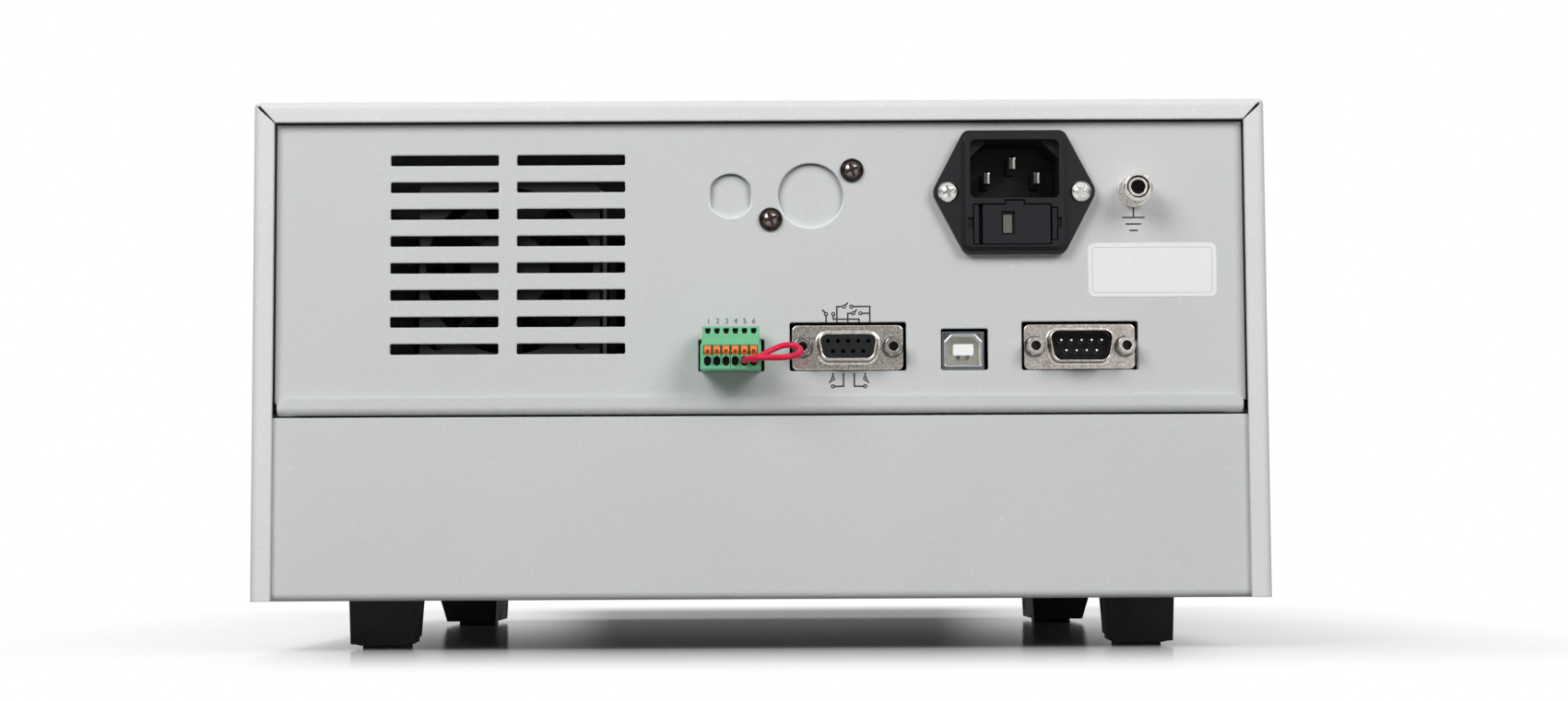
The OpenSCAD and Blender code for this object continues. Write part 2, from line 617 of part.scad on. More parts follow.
module usb_tongue() color(white) usb() difference() {
    union() {
        plate(-usb_l + 4, -usb_l + 6) usb_opening(-0.25);
        plate(-usb_l + 5, -1.2) rounded(-2.65, 2.95, -1.3, 1.85, 0.3);
    }
    for (s = [-1, 1], t = [-1, 1])
        span([0.15 + s * 1.25 - 0.4, 0.27 + t * 1.58 - 0.3, -9],
            [0.15 + s * 1.25 + 0.4, 0.27 + t * 1.58 + 0.3, -2]);
}

// Six-way terminal: u from the terminal's middle, v from the board

term_x = 3 * term_pitch + 0.75;
nose_x = term_x - 1.2;
plug_w0 = skin_w + 1.9;
lever_v = [5.5, 7.8];
lever_gap = 0.15;
nose_v = [2.9, 9.1];
pin_v = 6;
way_x = [for (i = [0:5]) (i - 2.5) * term_pitch];
lever_x = term_pitch / 2 - lever_gap - 0.15;

module term() rear() translate([term_u, z_board, 0]) children();

module terminal_header() color(green) term() {
    union() {
        difference() {
            union() {
                span([-term_x, 0, inside_w - 9], [term_x, 10.3, inside_w - seat_gap]);
                span([-term_x, 1.75, inside_w - 9], [term_x, 10.3, plug_w0 - slide_gap]);
            }
            span([-nose_x - slide_gap, nose_v[0] - slide_gap, inside_w - 7],
                [nose_x + slide_gap, nose_v[1] + slide_gap, plug_w0 + eps]);
        }
        for (x = way_x) rod(x, pin_v, inside_w - 8, inside_w, 0.5);
    }
}

module terminal_plug() color(green) term() difference() {
    union() {
        span([-term_x, 1.45, plug_w0], [term_x, 8.35, term_reach]);
        translate([-term_x + 0.45, 0, 0]) rotate([90, 0, 90]) linear_extrude(2 * term_x - 0.9)
            polygon([[1.5, plug_w0], [13.4, plug_w0], [13.4, 6.6], [11, 7.4],
                [10.9, 8.2], [8, 9.4], [1.5, 9.4]]);
        span([-nose_x, nose_v[0], inside_w - 5.5], [nose_x, nose_v[1], plug_w0 + 0.2]);
    }
    for (x = way_x) {
        plate(term_reach - 6, term_reach + eps) band([[x, 3.35, 0.98], [x, 4.05, 0.98]]);
        span([x - lever_x - lever_gap, lever_v[0] - lever_gap, term_reach - 4.6 - lever_travel],
            [x + lever_x + lever_gap, lever_v[1] + lever_gap, term_reach + eps]);
        plate(3.5, 9)
            band([[x - 0.3, 11.7, 0.3], [x + 0.3, 11.7, 0.3], [x + 0.5, 12.6, 0.3], [x - 0.5, 12.6, 0.3]]);
        rod(x, pin_v, inside_w - 6, -0.5, 0.5 + slide_gap);
    }
    for (i = [0:4]) let (x = (way_x[i] + way_x[i + 1]) / 2)
        span([x - 0.12, 2.2, term_reach - 0.4], [x + 0.12, 8.4, term_reach + eps]);
}

module lever(i) color(orange) term() translate([way_x[i - 1], 0, 0]) difference() {
    union() {
        span([-lever_x, lever_v[0], term_reach - 4.4], [lever_x, lever_v[1], term_reach - 0.5]);
        span([-lever_x, lever_v[0] + 0.7, term_reach - 1], [lever_x, lever_v[1], term_reach + lever_proud]);
    }
    span([-0.45, lever_v[0] - eps, term_reach - 0.9], [0.45, lever_v[0] + 1.3, term_reach + eps]);
}

// Wire jumper between ways five and six: hand-set points u, v, w and a smooth run through them
wire_r = 0.82;
wire_points = [[3.75, 3.7, 5.5], [3.75, 3.7, 9], [3.75, 3.7, 12], [4.5, 3.8, 15], [6.5, 4, 17.3],
    [9.5, 4, 18.5], [13.5, 4, 18.5], [16.5, 4.4, 17.5], [18.6, 5.2, 15.5], [18.8, 6.6, 13], [17.2, 7.7, 11.4],
    [14.5, 7.8, 11], [11.6, 6.7, 11.8], [9.2, 5.4, 12.9], [7.3, 4.3, 12.6], [6.4, 3.8, 10.8],
    [6.25, 3.7, 8.5], [6.25, 3.7, 5.5]];
wire_steps = 4;

function bezier_mid(a, b, c, d, t) = 0.5 * ((2 * b) + (c - a) * t + (2 * a - 5 * b + 4 * c - d) * t * t
    + (3 * b - a - 3 * c + d) * t * t * t);
function smooth(p, steps) = let (n = len(p)) concat([for (i = [0:n - 2], k = [0:steps - 1])
    bezier_mid(p[max(i - 1, 0)], p[i], p[i + 1], p[min(i + 2, n - 1)], k / steps)], [p[n - 1]]);
function unit(v) = v / norm(v);
function headings(p) = [for (i = [0:len(p) - 1]) unit(p[min(i + 1, len(p) - 1)] - p[max(i - 1, 0)])];
function across(v, t) = unit(v - (v * t) * t);
function sides(t, i = 0, list = []) = i == len(t) ? list
    : sides(t, i + 1, concat(list, [across(i == 0 ? [1, 0.2, 0] : list[i - 1], t[i])]));

module tube(points, r, n) {
    t = headings(points);
    s = sides(t);
    m = len(points);
    rings = [for (i = [0:m - 1], k = [0:n - 1])
        points[i] + r * (cos(k * 360 / n) * s[i] + sin(k * 360 / n) * cross(t[i], s[i]))];
    walls = [for (i = [0:m - 2], k = [0:n - 1])
        [i * n + k, i * n + (k + 1) % n, (i + 1) * n + (k + 1) % n, (i + 1) * n + k]];
    ends = [[for (k = [n - 1:-1:0]) k], [for (k = [0:n - 1]) (m - 1) * n + k]];
    polyhedron(rings, concat(walls, ends), 4);
}

module jumper_wire() color(red) term() tube(smooth(wire_points, wire_steps), wire_r, 8);

// Fan

fan_u = vent_u + 0.3;
fan_f = inside_w - 1.2;
fan_back = fan_f - fan_d;
fan_r = fan_s / 2 - 1.8;
hub_r = 11;
axle_r = 1;
blades = 7;
blade_tilt = 40;

module fan() rear() translate([fan_u, fan_v, 0]) children();

module fan_frame() color(dark) fan() difference() {
    union() {
        difference() {
            plate(fan_back, fan_f) rounded(-fan_s / 2, fan_s / 2, -fan_s / 2, fan_s / 2, 3);
            rod(0, 0, fan_back - eps, fan_f + eps, fan_r);
        }
        rod(0, 0, fan_back, fan_back + 3, hub_r);
        for (a = [45:90:315]) rotate([0, 0, a])
            span([hub_r - 1, -1.2, fan_back], [fan_r + 1, 1.2, fan_back + 2.4]);
    }
    rod(0, 0, fan_back + 0.6, fan_f, axle_r + run_gap);
    for (x = [-1, 1], y = [-1, 1])
        rod(x * (fan_s / 2 - 5), y * (fan_s / 2 - 5), fan_back - eps, fan_f + eps, 2.1);
}

module fan_rotor() color(dark) fan() {
    rod(0, 0, fan_back + 0.9, fan_f - 2, axle_r);
    rod(0, 0, fan_back + 3.4, fan_f - 1, hub_r);
    intersection() {
        rod(0, 0, fan_back, fan_f, fan_r - 0.6);
        for (i = [0:blades - 1]) rotate([0, 0, i * 360 / blades])
            translate([0, 0, (fan_back + 3.4 + fan_f - 1) / 2])
            rotate([blade_tilt, 0, 0])
                span([hub_r - 1, -0.5, -(fan_d - 6) / 2], [fan_s, 0.5, (fan_d - 6) / 2]);
    }
}

module fan_bracket() color(nickel) fan() {
    foot = z_deck - fan_v;
    difference() {
        plate(fan_back - sheet_t, fan_back)
            outline(-fan_s / 2 - 1, fan_s / 2 + 1, foot, fan_s / 2, [0, 0, 3, 3]);
        rod(0, 0, fan_back - 5, fan_back + eps, fan_r);
    }
    span([-fan_s / 2 - 1, foot, fan_back - 12], [fan_s / 2 + 1, foot + sheet_t, fan_back - sheet_t + 0.2]);
}

// Inside

module main_board() color(board_green) rear()
    span([board_x[0], z_board - board_t, -board_d], [board_x[1], z_board, inside_w - 1]);

module board_components() color(dark) rear() translate([0, z_board, 0]) {
    for (u = [4, 20, 36]) translate([u, 0, -62]) rotate([-90, 0, 0]) cylinder(r = 6, h = 22);
    for (u = [56, 78, 100]) span([u - 8, 0, -72], [u + 8, 15, -52]);
    span([-24, 0, -70], [-8, 2.4, -54]);
    for (u = [8, 46, 72]) span([u - 5, 0, -36], [u + 5, 1.8, -24]);
    span([40, 0, 5 - board_d], [board_x[1] - 8, 8, 13 - board_d]);
}

sink_x = [vent_u - 28, vent_u + 28];
sink_w = [-140, -38];
sink_h = 48;
fins = 9;

module heat_sink() color(nickel) rear() {
    span([sink_x[0], z_deck, sink_w[0]], [sink_x[1], z_deck + 6, sink_w[1]]);
    for (i = [0:fins - 1]) let (x = sink_x[0] + 1 + i * (sink_x[1] - sink_x[0] - 2) / (fins - 1))
        span([x - 1, z_deck + 5, sink_w[0]], [x + 1, z_deck + sink_h, sink_w[1]]);
}

core = [90, 76, 26];
core_u = 42;
core_w = -165;
core_z = z_bot + sheet_t + 11;
limb = 30;
yoke = 15;
coil_t = 10;

module winding() rear() translate([core_u, core_z, core_w]) children();

module transformer_core() color(dark) winding() difference() {
    span([-core.x / 2, 0, -core.y / 2], [core.x / 2, core.z, core.y / 2]);
    for (s = [-1, 1]) translate([s * (limb / 2 + (core.x / 2 - yoke - limb / 2) / 2), 0, 0])
        span([-(core.x / 2 - yoke - limb / 2) / 2, -eps, -core.y / 2 + yoke],
            [(core.x / 2 - yoke - limb / 2) / 2, core.z + eps, core.y / 2 - yoke]);
}

module transformer_coil() color(orange) winding() difference() {
    block3([-limb / 2 - coil_t, -coil_t, -core.y / 2 + yoke + 0.5],
        [limb / 2 + coil_t, core.z + coil_t, core.y / 2 - yoke - 0.5],
        [4, 4, 4, 4], [0, 0, 0, 0], [0, 0, 0, 0]);
    span([-limb / 2 - 0.2, -0.2, -core.y], [limb / 2 + 0.2, core.z + 0.2, core.y]);
}

module transformer_cradle() color(nickel) winding() for (s = [-1, 1])
    span([s * (core.x / 2 - 7) - 6, z_bot + sheet_t - core_z, -core.y / 2 - 4],
        [s * (core.x / 2 - 7) + 6, 0, core.y / 2 + 4]);

module_x = [-case_w / 2 + 30, -40];
module_w = [-(case_d - 120), -100];
module_h = 36;

module power_module() color(nickel) rear() difference() {
    span([module_x[0], z_bot + sheet_t, module_w[0]], [module_x[1], z_bot + sheet_t + module_h, module_w[1]]);
    for (w = [module_w[0] + 8:12:module_w[1] - 8])
        span([module_x[0] + 10, z_bot + sheet_t + module_h - 1, w],
            [module_x[1] - 10, z_bot + 2 * module_h, w + 4]);
}

// Feet

foot_d = 16;
rear_foot_w = -28;
foot_hole_r = 3.2;
front_foot_w = -(case_d - 94);
front_foot_d = 44;
leg_h = 6;
leg_x = 10;
pivot_r = 1.5;
pivot_z = pad_t + 4.2;
// Rear pad from the middle of its foot, and the sole that it is let into
rear_pad = [-6.5, 6];
pad_inset = 2;
sole_z = pad_t - 0.6;

// Mirror a right-hand piece to the left
module both_sides() for (s = [0, 1]) mirror([s, 0, 0]) children();

module rear_feet() color(dark) rear() both_sides() difference() {
    intersection() {
        translate([0, 0, rear_foot_w - foot_d]) linear_extrude(foot_d) polygon([
            [rear_foot_x - 9.7, z_bot], [rear_foot_x - 9, sole_z + 2.3], [rear_foot_x - 8.4, sole_z + 1.9],
            [rear_foot_x - 8.4, sole_z + 0.8], [rear_foot_x - 6.9, sole_z], [rear_foot_x + 6.4, sole_z],
            [rear_foot_x + 7.8, sole_z + 0.3], [rear_foot_x + 9.4, sole_z + 0.4],
            [rear_foot_x + 9.7, z_bot]]);
        rotate([90, 0, 90]) translate([0, 0, rear_foot_x - 20])
            linear_extrude(40) polygon([
            [z_bot + eps, rear_foot_w], [z_bot + eps, rear_foot_w - foot_d],
            [sole_z, rear_foot_w - foot_d + 1.2],
            [sole_z, rear_foot_w - 1.2]]);
    }
    span([rear_foot_x + rear_pad[0] - seat_gap, sole_z - eps, rear_foot_w - foot_d + pad_inset - seat_gap],
        [rear_foot_x + rear_pad[1] + seat_gap, pad_t, rear_foot_w - pad_inset + seat_gap]);
    translate([rear_foot_x, z_bot - 3, rear_foot_w - foot_d / 2]) rotate([90, 0, 0])
        cylinder(r = foot_hole_r, h = 30);
}

module front_feet() color(dark) rear() both_sides() difference() {
    translate([0, 0, front_foot_w - front_foot_d]) linear_extrude(front_foot_d) polygon([
        [front_foot_x, z_bot], [front_foot_x + 0.6, pad_t],
        [front_foot_x + 18.4, pad_t], [front_foot_x + 22.2, z_bot]]);
    span([front_foot_x + 8 - leg_x / 2 - slide_gap, pad_t - eps, front_foot_w - front_foot_d - eps],
        [front_foot_x + 8 + leg_x / 2 + slide_gap, pivot_z + leg_h / 2 + slide_gap, front_foot_w - 14]);
    translate([front_foot_x - eps, pivot_z, leg_pivot_w]) rotate([0, 90, 0])
        cylinder(r = pivot_r + run_gap, h = 22);
}

leg_pivot_w = front_foot_w - front_foot_d + 4;

module foot_pads() color([0.06, 0.06, 0.07]) rear() both_sides() {
    difference() {
        span([rear_foot_x + rear_pad[0], 0, rear_foot_w - foot_d + pad_inset],
            [rear_foot_x + rear_pad[1], pad_t, rear_foot_w - pad_inset]);
        translate([rear_foot_x, z_bot, rear_foot_w - foot_d / 2]) rotate([90, 0, 0])
            cylinder(r = foot_hole_r, h = 30);
    }
    span([front_foot_x + 0.8, 0, front_foot_w - 12], [front_foot_x + 14, pad_t, front_foot_w - 2]);
}

module tilt_leg() color(dark) rear() {
    x = front_foot_x + 8;
    translate([x - leg_x / 2, pivot_z, leg_pivot_w]) rotate([90, 0, 90]) linear_extrude(leg_x)
        band([[0, 0, leg_h / 2], [0, leg_l - 2, 2], [-0.8, leg_l - 2, 2]]);
    translate([x - leg_x / 2 - 2, pivot_z, leg_pivot_w]) rotate([0, 90, 0])
        cylinder(r = pivot_r, h = leg_x + 4);
}

module tilt_leg_right() mirror([1, 0, 0]) tilt_leg();
module tilt_leg_left() tilt_leg();

// Front

module front_bezel() color(dark) front() difference() {
    union() {
        block3([-case_w / 2 - rim, z_bot - rim, -bezel_d], [case_w / 2 + rim, z_top + rim, 0],
            [8, 8, 8, 8], [0, 0, 4, 4], [0, 0, 4, 4]);
        plate(-bezel_d - bezel_lip, -bezel_d + 0.2)
            rounded(-inner_x, inner_x, z_bot + 1.5, z_top - sheet_t - fit_gap, 2);
    }
    plate(back_f, eps) rounded(-open_x, open_x, open_lo, open_hi, 4);
    plate(-bezel_d - bezel_lip - eps, back_f + 0.1)
        rounded(-open_x + 4, open_x - 4, open_lo + 4, open_hi - 4, 3);
}

front_studs = [[-open_x + 13, disp_z - disp_h / 2 - 7], [key_x, open_hi - 9], [open_x - 13, open_hi - 9],
    [-60, open_lo + 12], [20, open_lo + 12]];
keys = concat([for (i = [0:4]) [key_x, disp_z + (i - 2) * 12.5, key_w, 8]],
    [for (p = [[0, 1], [0, -1], [-1, 0], [1, 0], [0, 0]])
        [nav_x + p[0] * nav_pitch, disp_z + 8 + p[1] * 13, nav_w, 9]],
    [for (i = [0:2]) [nav_x + (i - 1) * nav_pitch, disp_z - 22, nav_w, 8]]);

module face_holes(g) {
    translate([disp_x, disp_z]) rounded(-disp_w / 2 - g, disp_w / 2 + g, -disp_h / 2 - g, disp_h / 2 + g, 2);
    for (x = [start_x, stop_x]) translate([x, push_z]) circle(r = push_d / 2 + slide_gap);
    translate([hv_x, jack_z]) circle(r = 9 + g);
    translate([rtn_x, jack_z]) circle(r = 6.1 + g);
    translate([switch_x, switch_z]) rounded(-6.6 - g, 6.6 + g, -9.7 - g, 9.7 + g, 0.6);
    translate([lamp_x, lamp_z]) circle(r = 4 + g);
}

module front_panel() color(steel) front() {
    difference() {
        plate(back_f, face_f)
            rounded(-open_x + seat_gap, open_x - seat_gap, open_lo + seat_gap, open_hi - seat_gap, 3.9);
        plate(back_f - eps, face_f + eps) face_holes(seat_gap);
    }
    for (p = front_studs) rod(p[0], p[1], board_f, back_f + 0.2, 2.5);
}

module front_overlay() color(dark) front() difference() {
    union() {
        plate(face_f, skin_f)
            rounded(-open_x + 0.5, open_x - 0.5, open_lo + 0.5, open_hi - 0.5, 3.5);
        for (k = keys) plate(skin_f - 0.1, skin_f + 0.5)
            translate([k[0], k[1]]) rounded(-k[2] / 2, k[2] / 2, -k[3] / 2, k[3] / 2, 1.6);
    }
    plate(face_f - eps, skin_f + eps) face_holes(seat_gap);
}

module display_window() color([0.05, 0.06, 0.08]) front() plate(back_f, skin_f)
    translate([disp_x, disp_z]) rounded(-disp_w / 2, disp_w / 2, -disp_h / 2, disp_h / 2, 2);

module display_module() color(nickel) front() plate(board_f, back_f)
    translate([disp_x, disp_z]) rounded(-disp_w / 2 - 3, disp_w / 2 + 3, -disp_h / 2 - 3, disp_h / 2 + 3, 1);

module front_board() color(board_green) front() difference() {
    plate(board_f - board_t, board_f) rounded(-open_x + 9, open_x - 9, open_lo + 7, open_hi - 7, 2);
    plate(board_f - 5, board_f + eps) {
        translate([hv_x, jack_z]) circle(r = 15);
        translate([rtn_x, jack_z]) circle(r = 10);
        translate([switch_x, switch_z]) rounded(-9, 9, -12, 12, 1);
        translate([lamp_x, lamp_z]) circle(r = 6);
    }
}

// Push button with a collar that rests behind the panel
module push_button(x) front() translate([x, push_z, 0]) {
    r = push_d / 2;
    foot = board_f + push_travel + 0.4;
    rotate_extrude() polygon([[0, foot], [3, foot], [3, back_f - 1.2], [r + 1.4, back_f - 1.2],
        [r + 1.4, back_f - 0.2], [r, back_f - 0.2], [r, -0.2], [r - 1.2, 1], [0, 1]]);
}

module start_button() color([0.15, 0.60, 0.30]) push_button(start_x);
module stop_button() color(red) push_button(stop_x);

module hv_socket() color(red) front() translate([hv_x, jack_z, 0]) difference() {
    union() {
        rod(0, 0, skin_f, skin_f + 3, 13.5);
        rod(0, 0, back_f - 14, hv_reach, 8.9);
        translate([0, 0, back_f - 4]) cylinder(r = 13, h = 4, $fn = 6);
    }
    rod(0, 0, hv_reach - 8, hv_reach + eps, 6.4);
    rod(0, 0, back_f - 8, hv_reach - 7, jack_bore_d / 2);
}

module return_socket() color(dark) front() translate([rtn_x, jack_z, 0]) difference() {
    union() {
        rod(0, 0, skin_f, skin_f + 3, 8.5);
        rod(0, 0, back_f - 12, hv_reach - 2, 5.8);
        translate([0, 0, skin_f + 5]) cylinder(r = 8, h = hv_reach - skin_f - 8, $fn = 12);
        translate([0, 0, back_f - 4]) cylinder(r = 8.5, h = 4, $fn = 6);
    }
    rod(0, 0, back_f - 6, hv_reach, jack_bore_d / 2);
}

rocker_r = 1.5;
rocker_f = skin_f - 1;

module switch_housing() color(dark) front() translate([switch_x, switch_z, 0]) difference() {
    union() {
        plate(skin_f, skin_f + 2) rounded(-8, 8, -11.5, 11.5, 1.6);
        plate(-22, skin_f + 0.2) rounded(-6.5, 6.5, -9.6, 9.6, 0.5);
    }
    plate(-14, skin_f + 3) rounded(-5.2, 5.2, -8.4, 8.4, 0.4);
    translate([-6.2, 0, rocker_f]) rotate([0, 90, 0]) cylinder(r = rocker_r + run_gap, h = 12.4);
}

module power_rocker() color(dark) front() translate([switch_x, switch_z, rocker_f]) {
    rotate([-9, 0, 0]) translate([-4.8, 0, 0]) rotate([90, 0, 90]) linear_extrude(9.6)
        polygon([[-7.2, 3.6], [0, 2.6], [7.2, 3.6], [6.4, -3], [2, -5], [-2, -5], [-6.4, -3]]);
    translate([-5.9, 0, 0]) rotate([0, 90, 0]) cylinder(r = rocker_r, h = 11.8);
}

module warning_lamp() color(red) front() translate([lamp_x, lamp_z, 0]) {
    rod(0, 0, back_f - 4, skin_f + 0.5, 3.95);
    rod(0, 0, skin_f, skin_f + 1, 5);
    intersection() {
        rod(0, 0, skin_f + 0.5, skin_f + 5, 3.95);
        translate([0, 0, skin_f + 0.6]) sphere(r = 3.95);
    }
}

top_cover();
base_tray();
chassis_shelf();
rear_panel();
blanking_plate();
panel_screws();
cover_screws();
rear_feet();
front_feet();
foot_pads();
tilt_leg_left();
tilt_leg_right();
inlet_housing();
inlet_pins();
inlet_screws();
fuse_drawer();
fuses();
voltage_card();
ground_stud();
ground_nut();
handler_shell();
handler_insert();
serial_shell();
serial_insert();
serial_pins();
jack_posts();
usb_shell();
usb_tongue();
terminal_header();
terminal_plug();
lever(1);  // lever_1
lever(2);  // lever_2
lever(3);  // lever_3
lever(4);  // lever_4
lever(5);  // lever_5
lever(6);  // lever_6
jumper_wire();
fan_frame();
fan_rotor();
fan_bracket();
main_board();
board_components();
heat_sink();
transformer_core();
transformer_coil();
transformer_cradle();
power_module();
front_bezel();
front_panel();
front_overlay();
display_window();
display_module();
front_board();
start_button();
stop_button();
hv_socket();
return_socket();
switch_housing();
power_rocker();
warning_lamp();
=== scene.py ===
import math

import bmesh
import bpy
from bpy.props import FloatProperty, FloatVectorProperty, PointerProperty
from bpy.types import Operator, Panel, PropertyGroup
from mathutils import Matrix, Vector


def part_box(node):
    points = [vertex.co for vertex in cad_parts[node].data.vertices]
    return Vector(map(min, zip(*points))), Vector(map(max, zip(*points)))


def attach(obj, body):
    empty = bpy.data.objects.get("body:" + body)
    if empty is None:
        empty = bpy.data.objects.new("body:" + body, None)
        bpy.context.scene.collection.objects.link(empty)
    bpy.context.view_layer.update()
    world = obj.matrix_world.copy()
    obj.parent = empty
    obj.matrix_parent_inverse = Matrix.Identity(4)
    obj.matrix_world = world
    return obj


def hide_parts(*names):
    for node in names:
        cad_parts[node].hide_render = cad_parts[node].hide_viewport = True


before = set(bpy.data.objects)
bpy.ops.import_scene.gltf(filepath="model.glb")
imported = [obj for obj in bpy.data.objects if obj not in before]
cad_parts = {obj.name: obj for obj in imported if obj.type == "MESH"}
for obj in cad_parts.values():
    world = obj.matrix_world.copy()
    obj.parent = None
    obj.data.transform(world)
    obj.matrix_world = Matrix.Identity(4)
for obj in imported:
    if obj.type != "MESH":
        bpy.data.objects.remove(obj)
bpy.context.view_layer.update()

bl_info = {
    "name": "Bench Hipot Tester Looks",
    "version": (1, 0, 0),
    "blender": (4, 5, 0),
    "location": "View3D > Sidebar > Tester",
    "description": "Finishes, small pieces and a stage for the packed bench hipot tester",
    "category": "Object",
}


def middle_of(node):
    """Middle of a node's box, in metres."""
    low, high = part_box(node)
    return (low + high) / 2


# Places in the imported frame, in metres
COVER_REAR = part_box("top_cover")[1].y
PANEL_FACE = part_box("rear_panel")[1].y
BEZEL_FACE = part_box("front_bezel")[0].y
KEY_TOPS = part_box("front_overlay")[0].y
KEY_RISE = 0.0005
FILM_FACE = KEY_TOPS + KEY_RISE
BOARD_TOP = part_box("main_board")[1].z
HANDLER, SERIAL = middle_of("handler_shell"), middle_of("serial_shell")
TERMINAL = middle_of("terminal_plug")

# Drawing frames in millimetres: across, up and outward, as seen from behind and from the front
MM = Matrix.Scale(0.001, 4)
REAR = Matrix(((-1, 0, 0, 0), (0, 0, 1, COVER_REAR), (0, 1, 0, 0), (0, 0, 0, 1))) @ MM
FRONT = Matrix(((1, 0, 0, 0), (0, 0, -1, BEZEL_FACE), (0, 1, 0, 0), (0, 0, 0, 1))) @ MM
PANEL_W = (PANEL_FACE - COVER_REAR) * 1000
FILM_F = (BEZEL_FACE - FILM_FACE) * 1000
KEY_F = (BEZEL_FACE - KEY_TOPS) * 1000


def shade(red, green, blue):
    """Linear colour of a tone read on a 0 to 255 scale."""
    def linear(tone):
        t = tone / 255
        return t / 12.92 if t <= 0.04045 else ((t + 0.055) / 1.055) ** 2.4
    return linear(red), linear(green), linear(blue)


def tint(name, description, tones):
    """Colour property with its default given on a 0 to 255 scale."""
    return FloatVectorProperty(name=name, description=description, subtype="COLOR", size=3,
                               min=0, max=1, default=shade(*tones))


def length(name, description, default, least, most):
    """Size property in metres."""
    return FloatProperty(name=name, description=description, unit="LENGTH", subtype="DISTANCE",
                         default=default, min=least, max=most)


def paint(name):
    """Colour that the user has set."""
    return tuple(getattr(bpy.context.scene.tester_colours, name))


class TesterColours(PropertyGroup):
    """Colours that a user would change"""
    cover: tint("Cover paint", "Powder coat of the outer cover", (224, 225, 224))
    panel: tint("Panel paint", "Powder coat of the rear panel, shelf and tray", (208, 210, 210))
    inlet: tint("Inlet moulding", "Black of the mains inlet and fuse drawer", (23, 24, 28))
    rubber: tint("Foot rubber", "Black of the feet", (27, 29, 29))
    terminal: tint("Terminal moulding", "Green of the plug and its header", (104, 182, 134))
    lever: tint("Lever moulding", "Orange of the release levers", (255, 140, 70))
    jumper: tint("Jumper insulation", "Pinkish red of the jumper lead", (222, 14, 68))
    ink: tint("Printing ink", "Dark grey of the printed marks", (34, 36, 38))
    bezel: tint("Bezel moulding", "Charcoal of the front bezel", (62, 65, 69))
    film: tint("Overlay film", "Pale grey of the printed front film", (214, 216, 215))
    film_band: tint("Overlay band", "Slate of the field round the display", (70, 78, 88))
    start: tint("Start lens", "Green of the start button", (36, 150, 78))
    stop: tint("Stop lens", "Red of the stop button", (196, 36, 38))


class TesterSizes(PropertyGroup):
    """Sizes that a user would change"""
    jumper_diameter: length("Jumper diameter", "Over the insulation", 0.00164, 0.001, 0.002)
    ink_line: length("Ink line", "Width of a printed line", 0.00044, 0.0002, 0.0006)
    label_width: length("Label width", "Width of the bare label", 0.0356, 0.02, 0.04)
    label_height: length("Label height", "Height of the bare label", 0.015, 0.01, 0.02)
    lens: FloatProperty(name="Lens", description="Focal length on a 36 mm sensor", unit="CAMERA",
                        default=61.3454, min=20, max=200)
    lamp_level: FloatProperty(name="Lamp level", description="Strength of all lamps", subtype="FACTOR",
                              default=1, min=0.2, max=2)


def math_method(operation, swapped=False):
    """Method that adds one Math node for a Python operator."""
    def method(signal, *other):
        return signal.math(operation, *other, signal) if swapped else signal.math(operation, signal, *other)
    return method


class Signal:
    """A shader socket that takes part in Python arithmetic; each operation adds a Math node"""

    def __init__(self, finish, socket):
        self.finish = finish
        self.socket = socket

    def math(self, operation, *values):
        return self.finish.node("Math", {"operation": operation}, dict(enumerate(values)))

    __add__ = __radd__ = math_method("ADD")
    __sub__ = math_method("SUBTRACT")
    __rsub__ = math_method("SUBTRACT", True)
    __mul__ = __rmul__ = math_method("MULTIPLY")
    __pow__ = math_method("POWER")
    __lt__ = math_method("LESS_THAN")
    __gt__ = math_method("GREATER_THAN")
    __or__ = math_method("MAXIMUM")
    __abs__ = math_method("ABSOLUTE")


